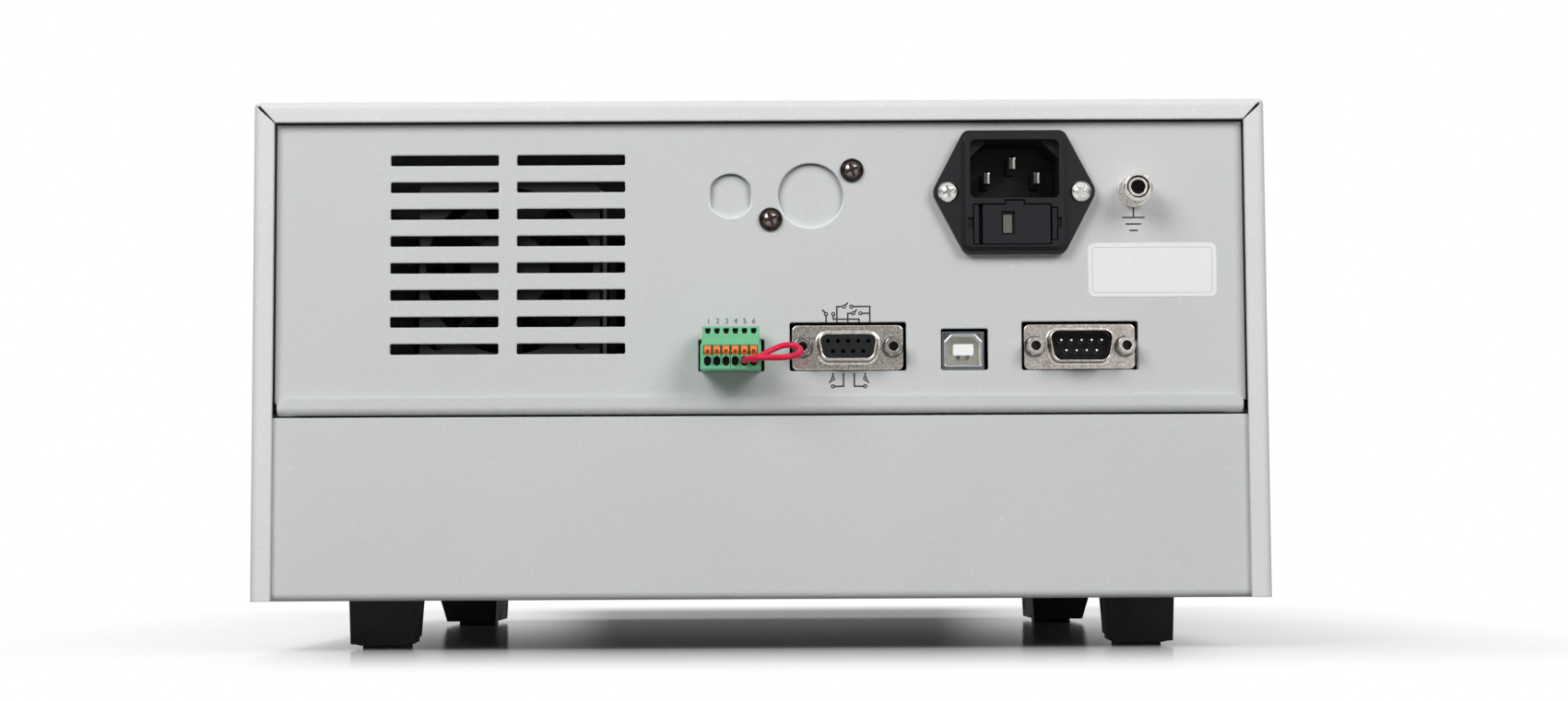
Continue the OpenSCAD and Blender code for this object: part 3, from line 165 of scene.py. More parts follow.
class Finish:
    """A finish under construction: its node tree, its shader and one method for any node"""

    def __init__(self, name, **constants):
        self.material = bpy.data.materials.new(name)
        self.material.use_nodes = True
        self.tree = self.material.node_tree
        self.shader = self.tree.nodes["Principled BSDF"]
        self.feed(**constants)

    def feed(self, **values):
        """Set or link the shader's sockets; base_color stands for Base Color."""
        for key, value in values.items():
            name = key.replace("_", " ").title().replace("Ior", "IOR")
            self.join(self.shader.inputs[name], value)

    def join(self, socket, value):
        if isinstance(value, Signal):
            self.tree.links.new(value.socket, socket)
        elif hasattr(socket.default_value, "__len__") and len(socket.default_value) == 4 and len(value) == 3:
            socket.default_value = (*value, 1)
        else:
            socket.default_value = value

    def node(self, kind, settings, sockets, output=0):
        made = self.tree.nodes.new(f"ShaderNode{kind}")
        for name, value in settings.items():
            setattr(made, name, value)
        for key, value in sockets.items():
            self.join(made.inputs[key], value)
        return Signal(self, made.outputs[output])

    def place(self):
        return self.node("TexCoord", {}, {}, "Object")

    def axes(self):
        """X, Y and Z of a point on the piece."""
        split = self.node("SeparateXYZ", {}, {"Vector": self.place()})
        return [Signal(self, output) for output in split.socket.node.outputs]

    def noise(self, scale, detail=2, roughness=0.5, stretch=None):
        where = self.place()
        if stretch:
            where = self.node("Mapping", {}, {"Vector": where, "Scale": stretch})
        return self.node("TexNoise", {}, {
            "Vector": where, "Scale": scale, "Detail": detail, "Roughness": roughness})

    def ramp(self, value, low, high, to_low=0, to_high=1):
        """Value between low and high, eased and spread over another range."""
        return self.node("MapRange", {"interpolation_type": "SMOOTHSTEP"}, {
            "Value": value, "From Min": low, "From Max": high, "To Min": to_low, "To Max": to_high})

    def mix(self, share, first, second):
        return self.node("Mix", {"data_type": "RGBA"}, {0: share, 6: first, 7: second}, 2)

    def bump(self, height, distance, round_edges=None):
        sockets = {"Height": height, "Distance": distance, "Strength": 1.0}
        if round_edges:
            sockets["Normal"] = self.node("Bevel", {"samples": 4}, {"Radius": round_edges})
        return self.node("Bump", {}, sockets)

    def between(self, share, colour, low, high):
        """Colour that varies from its low multiple to its high one."""
        return self.mix(share, scaled(colour, low), scaled(colour, high))

    def shaded(self, tone, colour, painted_shade):
        """Tone that falls to a painted dark shade of the colour where the painted shade mask is 1."""
        return self.mix(painted_shade(self), tone, scaled(colour, 0.04)) if painted_shade else tone

    def ripple(self, along, period):
        """Smooth ripple of the given period, from 0 to 1."""
        return along.math("SINE", along * (math.tau / period)) * 0.5 + 0.5

    def away(self, across, up):
        """Distance from an axis, of a point so far across and up from it."""
        return (across * across + up * up) ** 0.5

    def field(self, middle, half, corner):
        """1 inside a rounded rectangle drawn on the front or rear face, in metres, and 0 outside it."""
        x, _, z = self.axes()
        across = (abs(x - middle[0]) - (half[0] - corner)) | 0
        up = (abs(z - middle[1]) - (half[1] - corner)) | 0
        return (across ** 2 + up ** 2) < corner ** 2


def scaled(colour, factor):
    return tuple(min(1, c * factor) for c in colour)


def powder_coat(name, colour, painted_shade=None, rims=None):
    """Fine-textured powder coat: tight orange peel, a faint mottle, small painted glints, painted shade and
    painted pale rims as highlights.
    """
    coat = Finish(name, specular_ior_level=0.25)
    grain = coat.noise(1500, 3, 0.6)
    peel = coat.noise(520, 2)
    mottle = coat.noise(22, 3)
    # Painted glints: pale specks in the colour stand in for light caught by the orange peel
    painted_glint = coat.ramp(coat.noise(900, 2), 0.62, 0.74)
    tone = coat.between(coat.ramp(mottle, 0.3, 0.7), colour, 0.985, 1.01)
    tone = coat.mix(painted_glint * 0.36, tone, scaled(colour, 1.22))
    tone = coat.mix(coat.ramp(grain, 0.38, 0.18) * 0.4, tone, scaled(colour, 0.8))
    # Painted highlight: rims drawn lighter where light catches the rounded edges
    if rims:
        tone = coat.mix(rims(coat), tone, scaled(colour, 1.4))
    coat.feed(base_color=coat.shaded(tone, colour, painted_shade), roughness=0.58 + 0.16 * grain,
              normal=coat.bump(0.6 * grain + 0.8 * peel, 0.00011, 0.0007))
    return coat.material


def moulding(name, colour, roughness=0.38, grain=2600, depth=0.00002, edge=0.00025, painted_shade=None,
             **constants):
    """Moulded plastic: fine spark-eroded grain, slow gloss changes, softened edges and any painted shade."""
    plastic = Finish(name, **constants)
    fine = plastic.noise(grain, 2)
    slow = plastic.noise(160, 3)
    tone = plastic.between(slow, colour, 0.88, 1.12)
    plastic.feed(base_color=plastic.shaded(tone, colour, painted_shade), roughness=(roughness - 0.07) + 0.14 * slow,
                 normal=plastic.bump(fine, depth, edge))
    return plastic.material


def plated(name, colour, roughness=0.2, spangle=900, depth=0.00002, edge=0.00015, painted_shade=None,
           cloudy=1, tarnish=0.1):
    """Plated metal: cloudy spangle in tone and gloss, warm tarnish in blotches and any painted shade or
    reflection.
    """
    metal = Finish(name, metallic=1.0)
    cloud = metal.noise(spangle, 4, 0.65)
    blotch = metal.ramp(metal.noise(360, 3, 0.6), 0.45, 0.7)
    tone = metal.between(metal.ramp(cloud, 0.3, 0.7), colour, 1 - 0.5 * cloudy, 1 + 0.1 * cloudy)
    tone = metal.mix(blotch * tarnish, tone, (colour[0] * 0.5, colour[1] * 0.44, colour[2] * 0.38))
    metal.feed(base_color=metal.shaded(tone, colour, painted_shade), normal=metal.bump(cloud, depth, edge),
               roughness=(roughness - 0.06 * cloudy) + 0.2 * cloudy * cloud + 0.1 * tarnish * blotch)
    return metal.material


def rubber(name, colour, ribs=False):
    """Matt moulded rubber, dusty on its flats, with ribs across the sole."""
    foot = Finish(name, specular_ior_level=0.35)
    fine = foot.noise(1800, 3)
    dust = foot.ramp(foot.noise(70, 4), 0.45, 0.8)
    height = fine
    if ribs:
        x, _, _ = foot.axes()
        height = 0.15 * fine + foot.ripple(x, 0.0016)
    foot.feed(base_color=foot.mix(dust * 0.35, colour, scaled(colour, 2.1)), roughness=0.62 + 0.2 * dust,
              normal=foot.bump(height, 0.0004 if ribs else 0.00004, 0.0004))
    return foot.material


def brushed(name, colour):
    """Brushed sheet: long streaks across the width."""
    sheet = Finish(name, metallic=1.0)
    streak = sheet.noise(900, 3, 0.6, (0.02, 1, 1))
    slow = sheet.noise(30, 2)
    sheet.feed(base_color=sheet.between(streak, colour, 0.86, 1.08),
               roughness=0.26 + 0.12 * streak + 0.06 * slow, normal=sheet.bump(streak, 0.000012, 0.0002))
    return sheet.material


def laminate(name):
    """Circuit board: solder mask with paler runs and small tinned pads."""
    board = Finish(name, coat_weight=0.3)
    cells = board.node("TexVoronoi", {"distance": "MANHATTAN"}, {
        "Vector": board.place(), "Scale": 260.0, "Randomness": 0.35})
    runs = board.ramp(board.noise(300, 1, 0.5, (1, 0.12, 1)), 0.5, 0.54)
    pads = board.ramp(cells, 0.16, 0.12)
    tone = board.mix(runs, shade(22, 84, 54), shade(30, 104, 66))
    board.feed(base_color=board.mix(pads * 0.8, tone, shade(196, 190, 176)), roughness=0.34 + 0.1 * runs,
               metallic=pads * 0.7, normal=board.bump(runs + pads, 0.00003))
    return board.material


def laminations(name):
    """Stack of core sheets with a little rust."""
    core = Finish(name)
    _, _, z = core.axes()
    lines = core.ripple(z, 0.0007)
    rust = core.ramp(core.noise(240, 4), 0.5, 0.8)
    core.feed(base_color=core.mix(rust * 0.4, shade(52, 52, 54), shade(96, 74, 60)),
              roughness=0.5 + 0.2 * rust, metallic=0.6 - 0.4 * rust, normal=core.bump(lines, 0.00008, 0.0003))
    return core.material


def taped(name):
    """Winding under overlapping turns of tape."""
    coil = Finish(name, coat_weight=0.2)
    _, y, _ = coil.axes()
    turns = coil.ripple(y, 0.011)
    crease = coil.noise(380, 3)
    coil.feed(base_color=coil.mix(turns, shade(206, 164, 62), shade(226, 190, 92)),
              roughness=0.3 + 0.2 * crease, normal=coil.bump(turns + 0.4 * crease, 0.0002, 0.0005))
    return coil.material


def dress(material, *names):
    """Give CAD nodes one finish."""
    for name in names:
        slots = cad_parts[name].data.materials
        slots.clear()
        slots.append(material)


def placed(name, data):
    """New object in the scene."""
    made = bpy.data.objects.new(name, data)
    bpy.context.scene.collection.objects.link(made)
    return made


def meshed(name, bm):
    """New mesh object made of a bmesh."""
    mesh = bpy.data.meshes.new(name)
    bm.to_mesh(mesh)
    bm.free()
    return placed(name, mesh)


def faces_of(verts, index=None):
    """Faces at the vertices, given a material if its index is named."""
    faces = {f for v in verts for f in v.link_faces}
    if index is not None:
        for f in faces:
            f.material_index = index
    return faces


def finished(name, bm, drawing, body, slot, *materials):
    """Turn a bmesh drawn in millimetres into a piece that rides on a body."""
    bmesh.ops.transform(bm, matrix=drawing, verts=bm.verts)
    bmesh.ops.recalc_face_normals(bm, faces=bm.faces)
    piece = meshed(name, bm)
    for material in materials:
        piece.data.materials.append(material)
    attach(piece, body)
    return piece


def pad(bm, middle, size, low, high, corner, lip, index=0):
    """Rounded pad with softened top edges."""
    place = Matrix.Translation((*middle, (low + high) / 2)) @ Matrix.Diagonal((*size, high - low, 1))
    made = bmesh.ops.create_cube(bm, size=1, matrix=place)["verts"]
    upright = {e for v in made for e in v.link_edges if abs(e.verts[0].co.z - e.verts[1].co.z) > 1e-6}
    rounded = bmesh.ops.bevel(bm, geom=list(upright), offset=corner, offset_type="OFFSET", affect="EDGES",
                              segments=6, profile=0.5, material=-1)
    faces = faces_of(rounded["verts"])
    top = [f for f in faces if f.normal.z > 0.9 and f.calc_center_median().z > (low + high) / 2]
    rim = list({e for f in top for e in f.edges})
    soft = bmesh.ops.bevel(bm, geom=rim, offset=lip, offset_type="OFFSET", affect="EDGES",
                           segments=3, profile=0.5, material=-1)
    for f in faces | set(soft["faces"]):
        if f.is_valid:
            f.material_index = index
            f.smooth = False
    for f in soft["faces"]:
        f.smooth = True


def bar(bm, start, end, width, low, high, index=0):
    """Printed line between two points, a hair higher than the last so that crossing lines share no face."""
    high += 0.002 * (len(bm.faces) // 6 % 8)
    a, b = Vector(start), Vector(end)
    run = b - a
    place = (Matrix.Translation((*((a + b) / 2), (low + high) / 2))
             @ Matrix.Rotation(math.atan2(run.y, run.x), 4, "Z")
             @ Matrix.Diagonal((run.length + width, width, high - low, 1)))
    faces_of(bmesh.ops.create_cube(bm, size=1, matrix=place)["verts"], index)


def path(bm, points, width, low, high, index=0):
    """Printed line through several points."""
    for start, end in zip(points, points[1:]):
        bar(bm, start, end, width, low, high, index)


def spun(bm, section, middle, steps):
    """Ring spun from its section, given as radius and height; returns its vertices."""
    face = bm.faces.new([bm.verts.new((radius, 0, z)) for radius, z in section])
    start = face.verts[0]
    bmesh.ops.spin(bm, geom=[face, *face.edges, *face.verts], cent=(0, 0, 0), axis=(0, 0, 1),
                   angle=math.tau, steps=steps, use_merge=True)
    verts = connected(start)
    bmesh.ops.delete(bm, geom=[f for f in faces_of(verts) if caps(f)], context="FACES_ONLY")
    bmesh.ops.translate(bm, vec=(*middle, 0), verts=verts)
    return verts


def ring(bm, middle, radius, width, low, high, index=0):
    """Printed or moulded ring of rectangular section."""
    inner, outer = radius - width / 2, radius + width / 2
    section = ((inner, low), (outer, low), (outer, high), (inner, high))
    faces_of(spun(bm, section, middle, 28), index)


def rectangle(half_x, half_y, radius):
    """Corners of a rectangle about the middle, counter-clockwise."""
    return [(x * half_x, y * half_y, radius) for x, y in ((-1, -1), (1, -1), (1, 1), (-1, 1))]


def outline(bm, corners, height):
    """Flat face with rounded corners, each given as x, y and radius, counter-clockwise."""
    spots = [Vector(corner[:2]) for corner in corners]
    verts = [bm.verts.new((*spot, height)) for spot in spots]
    bm.faces.new(verts)
    for i, vert in enumerate(verts):
        opening = (spots[i - 1] - spots[i]).angle(spots[(i + 1) % len(spots)] - spots[i])
        reach = corners[i][2] / math.tan(opening / 2)
        made = bmesh.ops.bevel(bm, geom=[vert], offset=reach, offset_type="OFFSET", affect="VERTICES",
                               segments=8, profile=0.5, material=-1)
    face = made["verts"][0].link_faces[0]
    face.normal_update()
    return face


def carried(bm, face, section):
    """Carry a face along a section given as distance in from its outline and height; returns the face."""
    for (inner, low), (further, high) in zip(section, section[1:]):
        made = bmesh.ops.inset_region(bm, faces=[face], thickness=further - inner, depth=high - low,
                                      use_even_offset=True, use_boundary=True)
        for f in made["faces"]:
            f.smooth = True
    return face


def drawn_shell(bm, plate, plate_section, mouth, mouth_section):
    """Drawn sheet part: a plate with a rolled edge, and a mouth that rises out of it in one sheet."""
    top = carried(bm, outline(bm, plate, plate_section[0][1]), plate_section)
    bmesh.ops.delete(bm, geom=[top], context="FACES_ONLY")
    carried(bm, outline(bm, mouth, 0), mouth_section)
    rims = [e for e in bm.edges if e.is_boundary and all(abs(v.co.z) < 0.001 for v in e.verts)]
    bmesh.ops.triangle_fill(bm, edges=rims, use_beauty=True)
    bmesh.ops.holes_fill(bm, edges=[e for e in bm.edges if e.is_boundary], sides=0)


def connected(vert):
    """All vertices of the shell that holds one vertex."""
    found, edge = {vert}, [vert]
    while edge:
        reached = {e.other_vert(v) for v in edge for e in v.link_edges} - found
        found |= reached
        edge = list(reached)
    return list(found)


def caps(face):
    """Is a face a cross-section left over from spinning a closed ring?"""
    angles = {round(math.atan2(v.co.y, v.co.x), 4) for v in face.verts}
    return len(angles) == 1


def figures(bm, text, height, middle, low, high, index=0):
    """Plain numbers as thin raised figures."""
    figure_share = 0.7
    curve = bpy.data.curves.new("figures", "FONT")
    curve.body, curve.size = text, height / figure_share
    curve.align_x, curve.align_y = "CENTER", "CENTER"
    curve.extrude = (high - low) / 2
    curve.resolution_u = 4
    holder = placed("figures", curve)
    bpy.context.view_layer.update()
    mesh = bpy.data.meshes.new_from_object(holder.evaluated_get(bpy.context.evaluated_depsgraph_get()))
    before = set(bm.verts)
    bm.from_mesh(mesh)
    fresh = [v for v in bm.verts if v not in before]
    bmesh.ops.remove_doubles(bm, verts=fresh, dist=1e-5)
    fresh = [v for v in bm.verts if v not in before]
    bmesh.ops.translate(bm, vec=(*middle, (low + high) / 2), verts=fresh)
    faces_of(fresh, index)
    bpy.data.objects.remove(holder)
    bpy.data.curves.remove(curve)
    bpy.data.meshes.remove(mesh)


class TESTER_OT_stage(Operator):
    """Camera at the viewing angle, pale floor, white surroundings and soft lamps"""
    bl_idname = "tester.stage"
    bl_label = "Stage"

    # Camera's place in metres and its turn in degrees
    eye_place = (-0.003715, 0.908112, 0.028047)
    eye_turn = (94.22689, 0.27184, 179.8004)

    # Name, place, point lit, side of the square in metres and power in watts
    lamps = (("left_softbox", (0.5, 0.93, 0.64), (0, 0.1, 0.07), 0.5, 6.4),
             ("right_softbox", (-0.6, 0.98, 0.6), (0, 0.1, 0.07), 0.5, 5.7),
             ("front_softbox", (0.5, -1.2, 0.8), (0, -0.1, 0.07), 0.9, 9.5))

    # Shadowed patch of the floor: middle of its depth, half its size each way, and how far it fades out
    shadow_y, shadow_half, shadow_fade = -0.055, (0.12, 0.205), 0.16

    def execute(self, context):
        scene = context.scene
        scene.view_settings.view_transform = "Standard"
        camera = bpy.data.cameras.new("rear_camera")
        camera.lens, camera.sensor_width = scene.tester_sizes.lens, 36
        camera.clip_start, camera.clip_end = 0.01, 50
        eye = placed("rear_camera", camera)
        eye.location = self.eye_place
        eye.rotation_euler = [math.radians(a) for a in self.eye_turn]
        scene.camera = eye

        bm = bmesh.new()
        bmesh.ops.create_grid(bm, x_segments=8, y_segments=8, size=4)
        floor = meshed("pale_floor", bm)
        floor.data.materials.append(self.floor_finish())

        world = bpy.data.worlds.new("white_surroundings")
        world.use_nodes = True
        scene.world = world
        sky = Finish.__new__(Finish)
        sky.tree = world.node_tree
        background = sky.tree.nodes["Background"]
        background.inputs["Color"].default_value = (1, 1, 1, 1)
        split = sky.node("SeparateXYZ", {}, {
            "Vector": sky.node("TexCoord", {}, {}, "Generated")}).socket.node.outputs
        aside, upward = abs(Signal(sky, split["X"])), Signal(sky, split["Z"])
        wings = sky.ramp(aside, 0.045, 0.1) * sky.ramp(aside, 0.4, 0.95, 0.85, 0.35)
        gloss = (wings | sky.ramp(upward, 0.1, 0.5) | 0.16) * self.rays(sky, "Glossy")
        light = gloss | sky.ramp(upward, 0, 0.55) * 0.28
        sky.join(background.inputs["Strength"], self.clear(sky) | light)

        level = scene.tester_sizes.lamp_level
        for name, spot, aim, size, power in self.lamps:
            lamp = bpy.data.lights.new(name, "AREA")
            lamp.shape, lamp.size, lamp.energy = "SQUARE", size, power * level
            holder = placed(name, lamp)
            holder.location = spot
            holder.rotation_euler = (Vector(aim) - Vector(spot)).to_track_quat("-Z", "Y").to_euler()
        return {"FINISHED"}

    def rays(self, finish, kind):
        return finish.node("LightPath", {}, {}, f"Is {kind} Ray")

    def clear(self, finish):
        """1 for rays that the camera or a glass sends out."""
        return self.rays(finish, "Camera") | self.rays(finish, "Transmission")

    def floor_finish(self):
        """Pale floor that fades into the white surroundings away from the object's shadow."""
        floor = Finish("pale_floor", roughness=0.16)
        clear, glossy = self.clear(floor), self.rays(floor, "Glossy")
        floor.feed(base_color=floor.mix(clear | glossy, (0.18, 0.18, 0.18), (0.88, 0.88, 0.88)))
        x, y, _ = floor.axes()
        across = (abs(x) - self.shadow_half[0]) | 0
        along = (abs(y - self.shadow_y) - self.shadow_half[1]) | 0
        reach = floor.away(across, along)
        glow = floor.node("Emission", {}, {"Color": (1, 1, 1)})
        lit = Signal(floor, floor.shader.outputs[0])
        shown = clear | 0.2 * glossy
        both = floor.node("MixShader", {}, {0: shown * floor.ramp(reach, 0, self.shadow_fade)})
        floor.tree.links.new(lit.socket, both.socket.node.inputs[1])
        floor.tree.links.new(glow.socket, both.socket.node.inputs[2])
        floor.tree.links.new(both.socket, floor.tree.nodes["Material Output"].inputs["Surface"])
        return floor.material


class TESTER_OT_jumper(Operator):
    """Short insulated lead that loops from the fifth way of the terminal to the sixth"""
    bl_idname = "tester.jumper"
    bl_label = "Jumper lead"

    # Across from the terminal's middle, up from the board and out from the cover's rear, in millimetres
    route = ((3.75, 3.7, 5.5), (3.75, 3.7, 9), (3.75, 3.7, 12), (4.5, 3.8, 15), (6.5, 4, 17.3),
             (9.5, 4, 18.5), (13.5, 4, 18.5), (16.5, 4.4, 17.5), (18.6, 5.2, 15.5), (18.8, 6.6, 13),
             (17.2, 7.7, 11.4), (14.5, 7.8, 11), (11.6, 6.7, 11.8), (9.2, 5.4, 12.9), (7.3, 4.3, 12.6),
             (6.4, 3.8, 10.8), (6.25, 3.7, 8.5), (6.25, 3.7, 5.5))

    def execute(self, context):
        points = [Vector((TERMINAL.x - u / 1000, COVER_REAR + w / 1000, BOARD_TOP + v / 1000))
                  for u, v, w in self.route]
        curve = bpy.data.curves.new("jumper_lead", "CURVE")
        curve.dimensions = "3D"
        curve.bevel_depth = context.scene.tester_sizes.jumper_diameter / 2
        curve.bevel_resolution, curve.resolution_u = 6, 10
        curve.use_fill_caps = True
        spline = curve.splines.new("BEZIER")
        spline.bezier_points.add(len(points) - 1)
        for i, knot in enumerate(spline.bezier_points):
            before, after = points[max(i - 1, 0)], points[min(i + 1, len(points) - 1)]
            knot.handle_left_type = knot.handle_right_type = "FREE"
            knot.co = points[i]
            knot.handle_left = points[i] - (after - before) / 6
            knot.handle_right = points[i] + (after - before) / 6
        lead = placed("jumper_lead", curve)
        curve.materials.append(moulding("jumper_insulation", paint("jumper"), 0.36, 1400, 0.00002, None,
                                        specular_ior_level=0.3))
        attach(lead, "terminal_plug")
        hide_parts("jumper_wire")
        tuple(points[0])
        return {"FINISHED"}


class TESTER_OT_case(Operator):
    """Powder coat on the sheet parts, plating on the screws and rubber on the feet"""
    bl_idname = "tester.case"
    bl_label = "Case and feet"

    # Blanked holes: middle across, radius and half the width over the flats, in metres
    blanked = ((-0.0141, 0.009, 0.009), (0.0081, 0.00615, 0.00555))
    head_radius = 0.00325

    # Width of the cover's flange at the sides and at the top, in metres
    flange_side, flange_top = 0.0062, 0.0063

    def execute(self, context):
        panel, foot = paint("panel"), paint("rubber")
        dress(powder_coat("cover_powder_coat", paint("cover")), "top_cover")
        # Panel: painted shade in the gap behind the flange, painted highlights on the holes' lower rims
        dress(powder_coat("panel_powder_coat", panel, self.painted_gap_shade, self.rims), "rear_panel")
        dress(powder_coat("tray_powder_coat", panel), "base_tray", "chassis_shelf")
        dress(powder_coat("plate_powder_coat", panel, self.recesses), "blanking_plate")
        dress(plated("screw_nickel", shade(226, 224, 220), 0.09, 400, 0.00001, cloudy=0.25),
              "cover_screws", "inlet_screws")
        dress(plated("screw_black_nickel", shade(132, 120, 114), 0.08, 400, 0.00001,
                     painted_shade=self.painted_head_reflection, cloudy=0.2), "panel_screws")
        dress(rubber("foot_rubber", foot), "rear_feet", "front_feet")
        dress(rubber("sole_rubber", scaled(foot, 0.8), True), "foot_pads")
        dress(moulding("leg_moulding", scaled(foot, 1.2), 0.42), "tilt_leg_left", "tilt_leg_right")
        return {"FINISHED"}

    def holes(self, coat):
        """For each blanked hole: place across and up from its middle, radius, and depth inside its edge."""
        x, _, z = coat.axes()
        up = z - middle_of("blanking_plate").z
        for middle, radius, flat in self.blanked:
            across = x - middle
            edge = x.math("MINIMUM", radius - coat.away(across, up), flat - abs(across))
            yield across, up, radius, edge

    def rims(self, coat):
        """Lower edges of the two blanked holes, painted pale as a highlight where light catches the rounded
        paint.
        """
        lower, upper = [coat.ramp(edge, -0.0006, -0.0002) * coat.ramp(up, 0.1 * radius, -0.6 * radius)
                        for _, up, radius, edge in self.holes(coat)]
        return lower | upper

    def recesses(self, coat):
        """Shade under the upper edges of the two blanked holes."""
        masks = []
        for across, up, radius, edge in self.holes(coat):
            soft = coat.ramp(edge, 0.0026, 0) * coat.ramp(up, -0.9 * radius, 0.5 * radius) * 0.32
            crisp = coat.ramp(edge, 0.0009, 0.0002) * coat.ramp(up, 0.1 * radius, 0.9 * radius) * 0.75
            masks.append((soft | crisp) * (abs(across) < radius))
        return masks[0] | masks[1]

    def painted_head_reflection(self, metal):
        """Painted dark reflection on the outer slopes of the two black screw heads."""
        low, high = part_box("panel_screws")
        head = self.head_radius
        x, _, z = metal.axes()
        away = [metal.away(x - middle, z - level)
                for middle, level in ((high.x - head, low.z + head), (low.x + head, high.z - head))]
        return metal.ramp(x.math("MINIMUM", *away), 0.0012, 0.0024) * 0.85

    def painted_gap_shade(self, coat):
        """Painted shade on the panel behind the cover's flange, seen as a thin dark line in the gap between
        them.
        """
        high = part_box("top_cover")[1]
        x, _, z = coat.axes()
        return (abs(x) > high.x - self.flange_side) | (z > high.z - self.flange_top)


class TESTER_OT_inlet(Operator):
    """Mains inlet, fuse drawer, fuses and the earth post"""
    bl_idname = "tester.inlet"
    bl_label = "Mains inlet and earth post"

    def execute(self, context):
        black = paint("inlet")
        dress(moulding("inlet_moulding", black, 0.42, 2200, 0.00003, 0.0003, specular_ior_level=0.22),
              "inlet_housing")
        dress(moulding("drawer_moulding", scaled(black, 1.1), 0.38, 2200, 0.00003, 0.0002,
                       specular_ior_level=0.22), "fuse_drawer")
        dress(plated("blade_nickel", shade(206, 202, 194), 0.08, 700, 0.00001, 0.0005, self.painted_blade_reflection, 0.2),
              "inlet_pins")
        dress(self.fuse_finish(), "fuses")
        dress(self.card_finish(), "voltage_card")
        for name, painted_shade in (("stud", self.bore), ("nut", None)):
            dress(plated(f"{name}_nickel", shade(230, 226, 219), 0.12, 800, 0.00001, painted_shade=painted_shade,
                         cloudy=0.4), f"ground_{name}")
        return {"FINISHED"}

    def painted_blade_reflection(self, metal):
        """Painted dark reflection on the blades' cut ends, the middle one ahead of the others, each with one
        painted highlight edge.
        """
        pitch, ahead, near = 0.007, 0.002, 0.0003
        x, y, _ = metal.axes()
        across = x.math("WRAP", x - middle_of("inlet_pins").x, pitch / 2, -pitch / 2)
        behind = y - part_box("inlet_pins")[1].y
        ends = (abs(behind) < near) | (abs(behind + ahead) < near)
        return ends * (abs(across + 0.0005) > 0.00034) * 0.85

    def bore(self, metal):
        """Painted shade inside the stud's bore."""
        radius, lip = 0.00204, 0.0002
        middle = middle_of("ground_stud")
        x, y, z = metal.axes()
        inside = metal.away(x - middle.x, z - middle.z) < radius
        return inside * (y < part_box("ground_stud")[1].y - lip)

    def fuse_finish(self):
        """Glass tube between two plated caps."""
        low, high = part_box("fuses")
        fuse = Finish("fuse_caps_and_glass", ior=1.5)
        x, _, _ = fuse.axes()
        cap_length = 0.005
        cap = abs(x - middle_of("fuses").x) > (high.x - low.x) / 2 - cap_length
        fuse.feed(base_color=fuse.mix(cap, shade(150, 156, 158), shade(212, 206, 194)), metallic=cap,
                  roughness=0.08 + 0.2 * fuse.noise(900, 3))
        return fuse.material

    def card_finish(self):
        """Ivory card behind the drawer's window, with a faint fibre."""
        card = Finish("window_card", roughness=0.6)
        fibre = card.noise(2400, 4)
        card.feed(base_color=card.mix(fibre, shade(84, 81, 72), shade(106, 102, 90)),
                  normal=card.bump(fibre, 0.00001))
        return card.material


